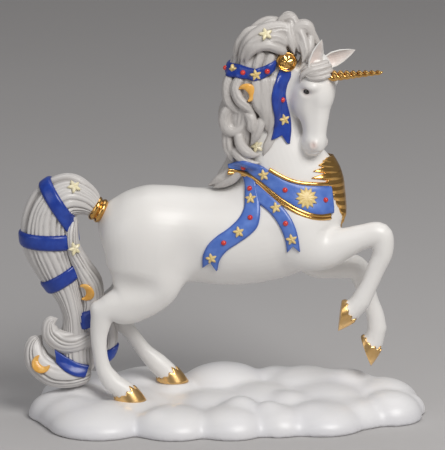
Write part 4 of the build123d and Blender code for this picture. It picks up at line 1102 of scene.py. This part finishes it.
# radius = sleeve + bead * |sin(pi * beads * share)| ** 0.6, turned round the axis
def ringShape():
    axis = unit(np.array(ringStyle["axis"]))
    wide = unit(np.cross(axis, acrossAxis))
    deep = np.cross(axis, wide)
    t = angles(ringStyle["around"])
    spokes = wide * np.cos(t)[:, None] + deep * np.sin(t)[:, None]
    h = np.linspace(-ringStyle["length"] / 2, ringStyle["length"] / 2, ringStyle["rings"])
    wave = np.abs(np.sin(np.pi * ringStyle["beads"] * (h / ringStyle["length"] + 0.5)))
    radius = ringStyle["radius"] + ringStyle["bead"] * wave ** 0.6
    grid = np.array(ringStyle["centre"]) + h[:, None, None] * axis + radius[:, None, None] * spokes
    return closedTube(grid)


piece("tailRing", ringShape(), gilt, ("tail_ring",))


# ornaments stand on the ground: a local grid, with x across, y up and z out, put on each seat
def onSeats(grid, points, normals, lift, roll=0.0):
    shapes = []
    for point, normal in zip(points, normals):
        x = unit(np.cross(upAxis, normal))
        y = np.cross(normal, x)
        c, s = math.cos(roll), math.sin(roll)
        basis = np.stack([x * c + y * s, y * c - x * s, normal])
        shapes.append(closedTube(point + normal * lift + grid @ basis))
    return shapes


# share of the reach and height of each ring of a star
starProfile = np.array([
    (0.12, 1.0), (0.35, 0.93), (0.6, 0.84), (0.8, 0.72), (0.93, 0.55), (1.0, 0.2), (1.02, -0.8),
])


# star: arms with a ridge down each, reach(turn) times the ring's share, height falling from the middle
def starGrid(radius, inner, points, height, ridge=0.25, around=60):
    t = angles(around)
    part = np.abs(((t / (2 * np.pi) * points) % 1) - 0.5) * 2
    reach = radius * (inner + (1 - inner) * part ** 1.15)
    r = starProfile[:, :1] * reach
    z = height * starProfile[:, 1:]
    return np.stack([r * np.sin(t), r * np.cos(t), np.where(z < 0, z, z * (1 + ridge * part))], -1)


# bead: radius * (sin a * cos t, sin a * sin t, cos a), from near the top to below the middle
def beadGrid(radius, around=28):
    a = np.linspace(0.15, 1.9, 9)[:, None]
    t = angles(around)
    return radius * np.stack([np.sin(a) * np.cos(t), np.sin(a) * np.sin(t), np.cos(a) + 0 * t], -1)


# where lines from the side meet the ground, and the ways out of it there
def seatsAt(grounds, places, side):
    places = np.array(places, float)
    start = np.stack([places[:, 0], np.full(len(places), sideStart * side), places[:, 1]], -1)
    points = landing(grounds, start, -faceOut[side])
    return points, outOf(grounds, points, 2.0)


# seats on a laid ribbon: its grid point nearest to each place in the side view
def ribbonSeats(points, places, side):
    flat = points[..., [0, 2]].reshape(-1, 2)
    at = np.argmin(np.linalg.norm(flat[None] - np.array(places, float)[:, None], axis=-1), axis=1)
    return points.reshape(-1, 3)[at], gridNormals(points, faceOut[side]).reshape(-1, 3)[at]


# seats on the middle of the bridle, at angles round its axis
def bridleSeats(degrees):
    path = np.array(bridlePath, float)
    share = np.interp(-np.array(degrees, float), -path[:, 0], np.arange(len(path))) / (len(path) - 1)
    row = (share * (len(bridle) - 1)).round().astype(int)
    middle = bridle.shape[1] // 2
    return bridle[row, middle], bridleOut[row, middle]


starStyle = {"radius": 3.0, "inner": 0.46, "points": 5, "height": 0.9}
paleStarStyle = {"radius": 3.6, "inner": 0.46, "points": 5, "height": 0.8}
sunStyle = {"radius": 5.7, "inner": 0.68, "points": 12, "height": 1.1, "ridge": 0.0, "around": 120}
jewelRadius = 1.35
seating = {"star": (1.1, 0.2), "jewel": (1.05, 0.0), "sun": (1.1, 0.0), "pale": (0.5, 0.3)}  # lift, roll
# places on each ribbon in the side view
ribbonDress = [
    (collarPoints, {"star": [(20.5, 127)], "jewel": [(10.4, 131.4), (31, 119.5), (50.5, 114)],
                    "sun": [(41.4, 115.5)]}),
    (rearPoints, {"star": [(14.4, 114.8), (7.8, 99.6), (-5.3, 86.5)],
                  "jewel": [(14.2, 119.5), (13.6, 106.5), (0.7, 94.5)]}),
    (frontPoints, {"star": [(26.5, 111), (34.4, 96)], "jewel": [(31.5, 104)]}),
    (cheekPoints, {"star": [(30.4, 155)], "jewel": [(28.8, 165.4)]}),
]
# angles round the bridle in degrees
bridleDress = {"star": (-92, -150, -210, -268), "jewel": (-70, -120, -180, -240, -290)}
paleStars = {"mane": [(21.4, 199), (17, 141)], "tail": [(-74, 119.5), (-74, 88.5)]}
forms = {"star": starGrid(**starStyle), "jewel": beadGrid(jewelRadius), "sun": starGrid(**sunStyle),
         "pale": starGrid(**paleStarStyle)}
dress = {"star": [], "jewel": [], "sun": []}
for points, places in ribbonDress:
    for side in sides:
        for kind, spots in places.items():
            dress[kind] += onSeats(forms[kind], *ribbonSeats(points[side], spots, side), *seating[kind])
for kind, degrees in bridleDress.items():
    dress[kind] += onSeats(forms[kind], *bridleSeats(degrees), *seating[kind])
piece("ribbonStars", gathered(dress["star"]), creamEnamel, ("ribbon_stars",))
piece("jewels", gathered(dress["jewel"]), redEnamel, ("jewels",))
piece("suns", gathered(dress["sun"]), creamEnamel, ("suns",))
for part, ground in (("mane", dressGround), ("tail", tailGround)):
    stars = onSeats(forms["pale"], *seatsAt(ground, paleStars[part], right), *seating["pale"])
    piece(part + "Stars", gathered(stars), paleEnamel, (part + "_stars",))

moonStyle = {"radius": 6.0, "bend": 0.62, "sweep": 105.0, "width": 0.36, "tip": 0.12, "tipAngle": 1.45,
             "thick": 0.8, "start": 12.0, "low": -0.8, "high": 1.2, "points": 15}


# crescent: a flattened tube bent round an arc, thin at both tips, on a smooth bed fitted to the ground
def moonAt(grounds, place, lean, lift=0.35):
    m = moonStyle
    (point,), (normal,) = seatsAt(grounds, [place], right)
    a = np.radians(np.linspace(-m["sweep"], m["sweep"], m["points"])) + math.radians(lean)
    x = unit(np.cross(upAxis, normal))
    y = np.cross(normal, x)
    ring = point + m["radius"] * m["bend"] * (np.cos(a)[:, None] * x + np.sin(a)[:, None] * y)
    laid = landing(grounds, ring + normal * m["start"], -normal, 2 * m["start"])
    out = (laid - point) @ normal
    bed = np.clip(np.polyval(np.polyfit(a, out, 2), a), m["low"], m["high"]) + lift
    bow = np.cos(np.linspace(-m["tipAngle"], m["tipAngle"], m["points"]))
    width = m["radius"] * m["width"] * bow + m["tip"]
    thick = np.full(m["points"], m["thick"])
    return tubeShape(np.column_stack([ring + normal * bed[:, None], thick, width]), 40, 20, normal)


maneMoon = moonAt(dressGround, (11, 169), lean=35, lift=1.3)
piece("maneMoon", maneMoon, amberEnamel, ("mane_moon",))
tailMoons = [moonAt(tailGround, (-69.6, 65), lean=0), moonAt(tailGround, (-90, 29.5), lean=225)]
piece("tailMoons", gathered(tailMoons), amberEnamel, ("tail_moons",))

# medallions: a turned boss with a round rim and six low petals in the dish
medallionStyle = {"radius": 5.1, "place": (31.6, 184.4), "lift": 0.6, "petals": 6, "relief": 0.22,
                  "petalAt": 0.38, "petalWide": 0.16, "follow": 0.4, "forward": 0.15, "around": 72}
# share of the radius, height
medallionProfile = np.array([
    (0.05, 1.2), (0.15, 1.15), (0.3, 1.0), (0.45, 0.8), (0.6, 0.6), (0.68, 0.55), (0.74, 0.9), (0.8, 1.7),
    (0.86, 2.1), (0.93, 1.95), (0.98, 1.5), (1.0, 1.0), (1.0, -1.0),
])


# height = profile + relief * cos(petals * turn), the relief strongest at one share of the radius
def medallionGrid():
    m = medallionStyle
    t = angles(m["around"])
    share, z = medallionProfile[:, :1], medallionProfile[:, 1:]
    r = share * m["radius"]
    petals = m["relief"] * np.cos(m["petals"] * t)
    relief = petals * np.exp(-((share - m["petalAt"]) / m["petalWide"]) ** 2)
    return np.stack([r * np.cos(t), r * np.sin(t), z + relief], -1)


bossShapes = []
for side in sides:
    points, normals = seatsAt(dressGround, [medallionStyle["place"]], side)
    forward = np.array([medallionStyle["forward"], 0, 0])
    normals = unit(normals * medallionStyle["follow"] + faceOut[side] + forward)
    bossShapes += onSeats(medallionGrid(), points, normals, medallionStyle["lift"])
piece("medallions", gathered(bossShapes), gilt, ("medallions",))

# horn: two strands wound round one axis, both thinning to a tip that is rounded over its last twentieth
hornStyle = {"drop": 11.0, "reach": 11.2, "length": 33.0, "bed": 3.0, "rise": 0.20, "radius": 3.0,
             "turns": 4.6, "taper": 0.64, "offset": 0.50, "strand": 0.53}


# middle of a strand = root + axis * length * s + (wide * cos a + deep * sin a) * radius * offset
def hornShape():
    h = hornStyle
    axis = unit(faceForward + upAxis * h["rise"])
    root = headPoint(h["reach"], 0, h["drop"]) - axis * h["bed"]
    wide = unit(np.cross(axis, upAxis))
    deep = np.cross(axis, wide)
    s = np.linspace(0, 1, 140)
    radius = h["radius"] * (1 - h["taper"] * s) * np.sqrt(1 - 0.95 * np.clip(s * 20 - 19, 0, 1) ** 2)
    shapes = []
    for start in (0, np.pi):
        a = start + 2 * np.pi * h["turns"] * s
        spokes = wide * np.cos(a)[:, None] + deep * np.sin(a)[:, None]
        middle = root + axis * ((h["length"] + h["bed"]) * s)[:, None]
        middle = middle + spokes * (radius * h["offset"])[:, None]
        strand = radius * h["strand"]
        shapes.append(tubeShape(np.column_stack([middle, strand, strand]), 220, 18, axis))
    return gathered(shapes)


piece("horn", hornShape(), gilt, ("horn",))

# ears: leaf-shaped cups, the outer wall and the hollow each half an oval across
earStyle = {"length": 15.0, "half": 4.3, "depth": 3.2, "wall": 1.0, "spacing": 13.2, "drop": 6.2, "bed": 2.5,
            "curl": 1.2, "hollow": 0.86, "lip": 0.15, "blush": 0.55, "facing": (0.9, -0.25)}
# shares of the length and of the half width
earLeaf = ([0, 0.12, 0.35, 0.6, 0.85, 1], [0.62, 0.86, 1.0, 0.82, 0.4, 0.03])
# the way the ear points, its side and its reach on the head
earWays = {"right": ((2.4, -0.7, 12), right, 6.4), "left": ((13, 3, 6), left, 4.6)}


# wall = middle + wide * half * cos a - front * depth * sin a, once outside and once for the hollow
def earShape(way, side, reach, n=40, m=17):
    e = earStyle
    root = headPoint(reach, side * e["spacing"] / 2, e["drop"])
    along = unit(np.array(way, float))
    facing = faceForward * e["facing"][0] + faceSide * e["facing"][1]
    front = unit(facing - along * (along @ facing))
    wide = np.cross(along, front)
    s = np.linspace(0, 1, n)[:, None]
    half = e["half"] * np.interp(s, *earLeaf)
    a = np.linspace(0, np.pi, m)[None, :]
    outerDepth = half * e["depth"] / e["half"]
    innerDepth = np.maximum(outerDepth - e["wall"], outerDepth * 0.25) * np.clip(s * 5 - 0.35, 0, 1)
    middle = root - along * e["bed"] + along * (s * (e["length"] + e["bed"]))[..., None]
    middle = middle + front * (e["curl"] * s ** 2)[..., None]
    outer = middle + wide * (half * np.cos(a))[..., None] - front * (outerDepth * np.sin(a))[..., None]
    inner = middle + wide * (half * e["hollow"] * np.cos(a))[..., None]
    inner = inner - front * (innerDepth * np.sin(a) - e["lip"])[..., None]
    grid = np.concatenate([outer, inner[:, ::-1]], axis=1)
    tint = np.sin(a) * np.clip(1.3 - s, 0, 1) * np.clip(s * 4, 0, 1)
    tint = np.concatenate([np.zeros((n, m)), tint], axis=1)
    return closedTube(grid), e["blush"] * np.r_[tint.ravel(), 0, 0]


for label, entry in earWays.items():
    valuedPiece(label + "Ear", [earShape(*entry)], whiteGlaze, (label + "_ear",), "blush")

# eyes: dark flattened beads in the sockets
eyeStyle = {"reach": 3.4, "drop": 18.2, "radius": 1.8, "shape": (1.1, 0.85, 0.75), "forward": 0.35,
            "lift": -0.35, "start": 25.0}
eyeShapes = []
for side in sides:
    start = headPoint(eyeStyle["reach"], side * eyeStyle["start"], eyeStyle["drop"])[None]
    point = landing(headGround, start, faceSide * -side)
    normal = unit(faceSide * side + faceForward * eyeStyle["forward"])
    eyeShapes += onSeats(beadGrid(eyeStyle["radius"]) * eyeStyle["shape"], point, [normal], eyeStyle["lift"])
piece("eyes", gathered(eyeShapes), blackEnamel, ("eyes",))

# cloud base: wide oval pillows softly joined over a flat foot
# x, y, radius, height
cloudLumps = [
    (-82, -5, 15, 13), (-62, -27, 25, 12.5), (-74, -16, 17, 13), (-24, -33, 20, 12.5),
    (-33, -37, 10, 11.5), (4, -34, 18, 13), (9, -25, 12, 16), (28, -31, 15, 12.5), (23, -29, 10, 14.5),
    (50, -24, 21, 12.5), (44, -27, 12, 12.5), (84, -9, 16, 14), (93, 2, 9, 10), (68, -16, 14, 11.5),
    (-66, 22, 26, 14.5), (-38, 27, 24, 16), (1, 26, 25, 19), (27, 31, 16, 16), (42, 22, 24, 18),
    (62, 21, 20, 17), (80, 12, 19, 15), (20, 0, 24, 15), (52, 0, 24, 15), (-6, -8, 20, 13.5),
    (-45, 2, 24, 11.8), (-24.6, 13, 15, 14.6), (-45.5, -13.5, 16, 11.9), (-70, 1, 17, 15.5),
    (33, -12, 14, 15),
]
cloudStyle = {"foot": (88, 42, 10.5), "soft": 2.6, "raise": 0.16, "rounds": 10, "spread": 4.0}
cloudSpace = lattice(low=(-104, -58, -4), high=(106, 58, 24), step=0.9)
cloudBlock = ball(cloudSpace, (0, 0, 0), cloudStyle["foot"])
for x, y, r, h in cloudLumps:
    middle = h * cloudStyle["raise"]
    cloudBlock = joined(cloudBlock, ball(cloudSpace, (x, y, middle), (r, r, h - middle)), cloudStyle["soft"])
cloudBlock = np.maximum(np.clip(cloudBlock, -fieldBand, fieldBand), -cloudSpace["xyz"][2])
cloudSkin = skinOf(cloudBlock, cloudSpace, cloudStyle["rounds"])
cloudSkin[0][:, 2] = np.maximum(cloudSkin[0][:, 2], 0)
# the crease value paints shade into the folds between the pillows
piece("cloudBase", cloudSkin, cloudGlaze, ("cloud_base",),
      {"creaseShade": creaseOf(cloudSkin, cloudBlock, cloudSpace, cloudStyle["spread"])})

# stage

floorHalf = 3.0
corners = [(x * floorHalf, y * floorHalf, 0) for x, y in ((-1, -1), (1, -1), (1, 1), (-1, 1))]
floor = bpy.data.meshes.new("floor")
floor.from_pydata(corners, [], [(0, 1, 2, 3)])
floorObj = bpy.data.objects.new("floor", floor)
bpy.context.scene.collection.objects.link(floorObj)
floorPaper = glaze("floorPaper", (0.50, 0.49, 0.49), (0.47, 0.46, 0.46), scale=3, amount=0.5, rough=0.8,
                   coat=0.0, coatRough=0.5, bump=0.0)
floor.materials.append(floorPaper)


# a soft lamp turned to its target
def areaLamp(name, place, target, size, power, colour):
    data = bpy.data.lights.new(name, "AREA")
    data.shape = "RECTANGLE"
    data.size, data.size_y = size
    data.energy = power
    data.color = colour
    obj = bpy.data.objects.new(name, data)
    bpy.context.scene.collection.objects.link(obj)
    obj.location = place
    way = np.array(target) - np.array(place)
    obj.rotation_euler = Vector(way).to_track_quat("-Z", "Y").to_euler()


areaLamp("keyLamp", (0.5, -0.8, 0.95), (0, 0, 0.1), size=(0.6, 0.6), power=12.0, colour=(1.0, 0.985, 0.96))
areaLamp("fillLamp", (-0.9, -0.75, 0.55), (0, 0, 0.1), size=(0.8, 0.8), power=2.4, colour=(0.97, 0.98, 1.0))
areaLamp("topLamp", (0.1, 0.3, 1.1), (0, 0, 0.08), size=(0.9, 0.6), power=2.2, colour=(1, 1, 1))
studio = {"colour": (0.42, 0.41, 0.41, 1), "strength": 0.42}
world = bpy.data.worlds.new("studio")
bpy.context.scene.world = world
world.use_nodes = True
world.node_tree.nodes["Background"].inputs["Color"].default_value = studio["colour"]
world.node_tree.nodes["Background"].inputs["Strength"].default_value = studio["strength"]

camData = bpy.data.cameras.new("camera")
camData.sensor_fit = "HORIZONTAL"
camData.sensor_width = 36.0
camera = bpy.data.objects.new("camera", camData)
bpy.context.scene.collection.objects.link(camera)
frameWide = view["wide"] * view["pixel"] * mm
far = view["distance"] * mm
camData.lens = camData.sensor_width * far / frameWide
midZ = (view["floorV"] - view["midV"]) * view["pixel"] / riseCos * mm
camera.location = (0, -far * riseCos, midZ + far * riseSin)
camera.rotation_euler = (math.radians(90 - view["rise"]), 0, 0)
camData.clip_start, camData.clip_end = 0.05, 20
bpy.context.scene.camera = camera
bpy.context.scene.view_settings.view_transform = "Standard"
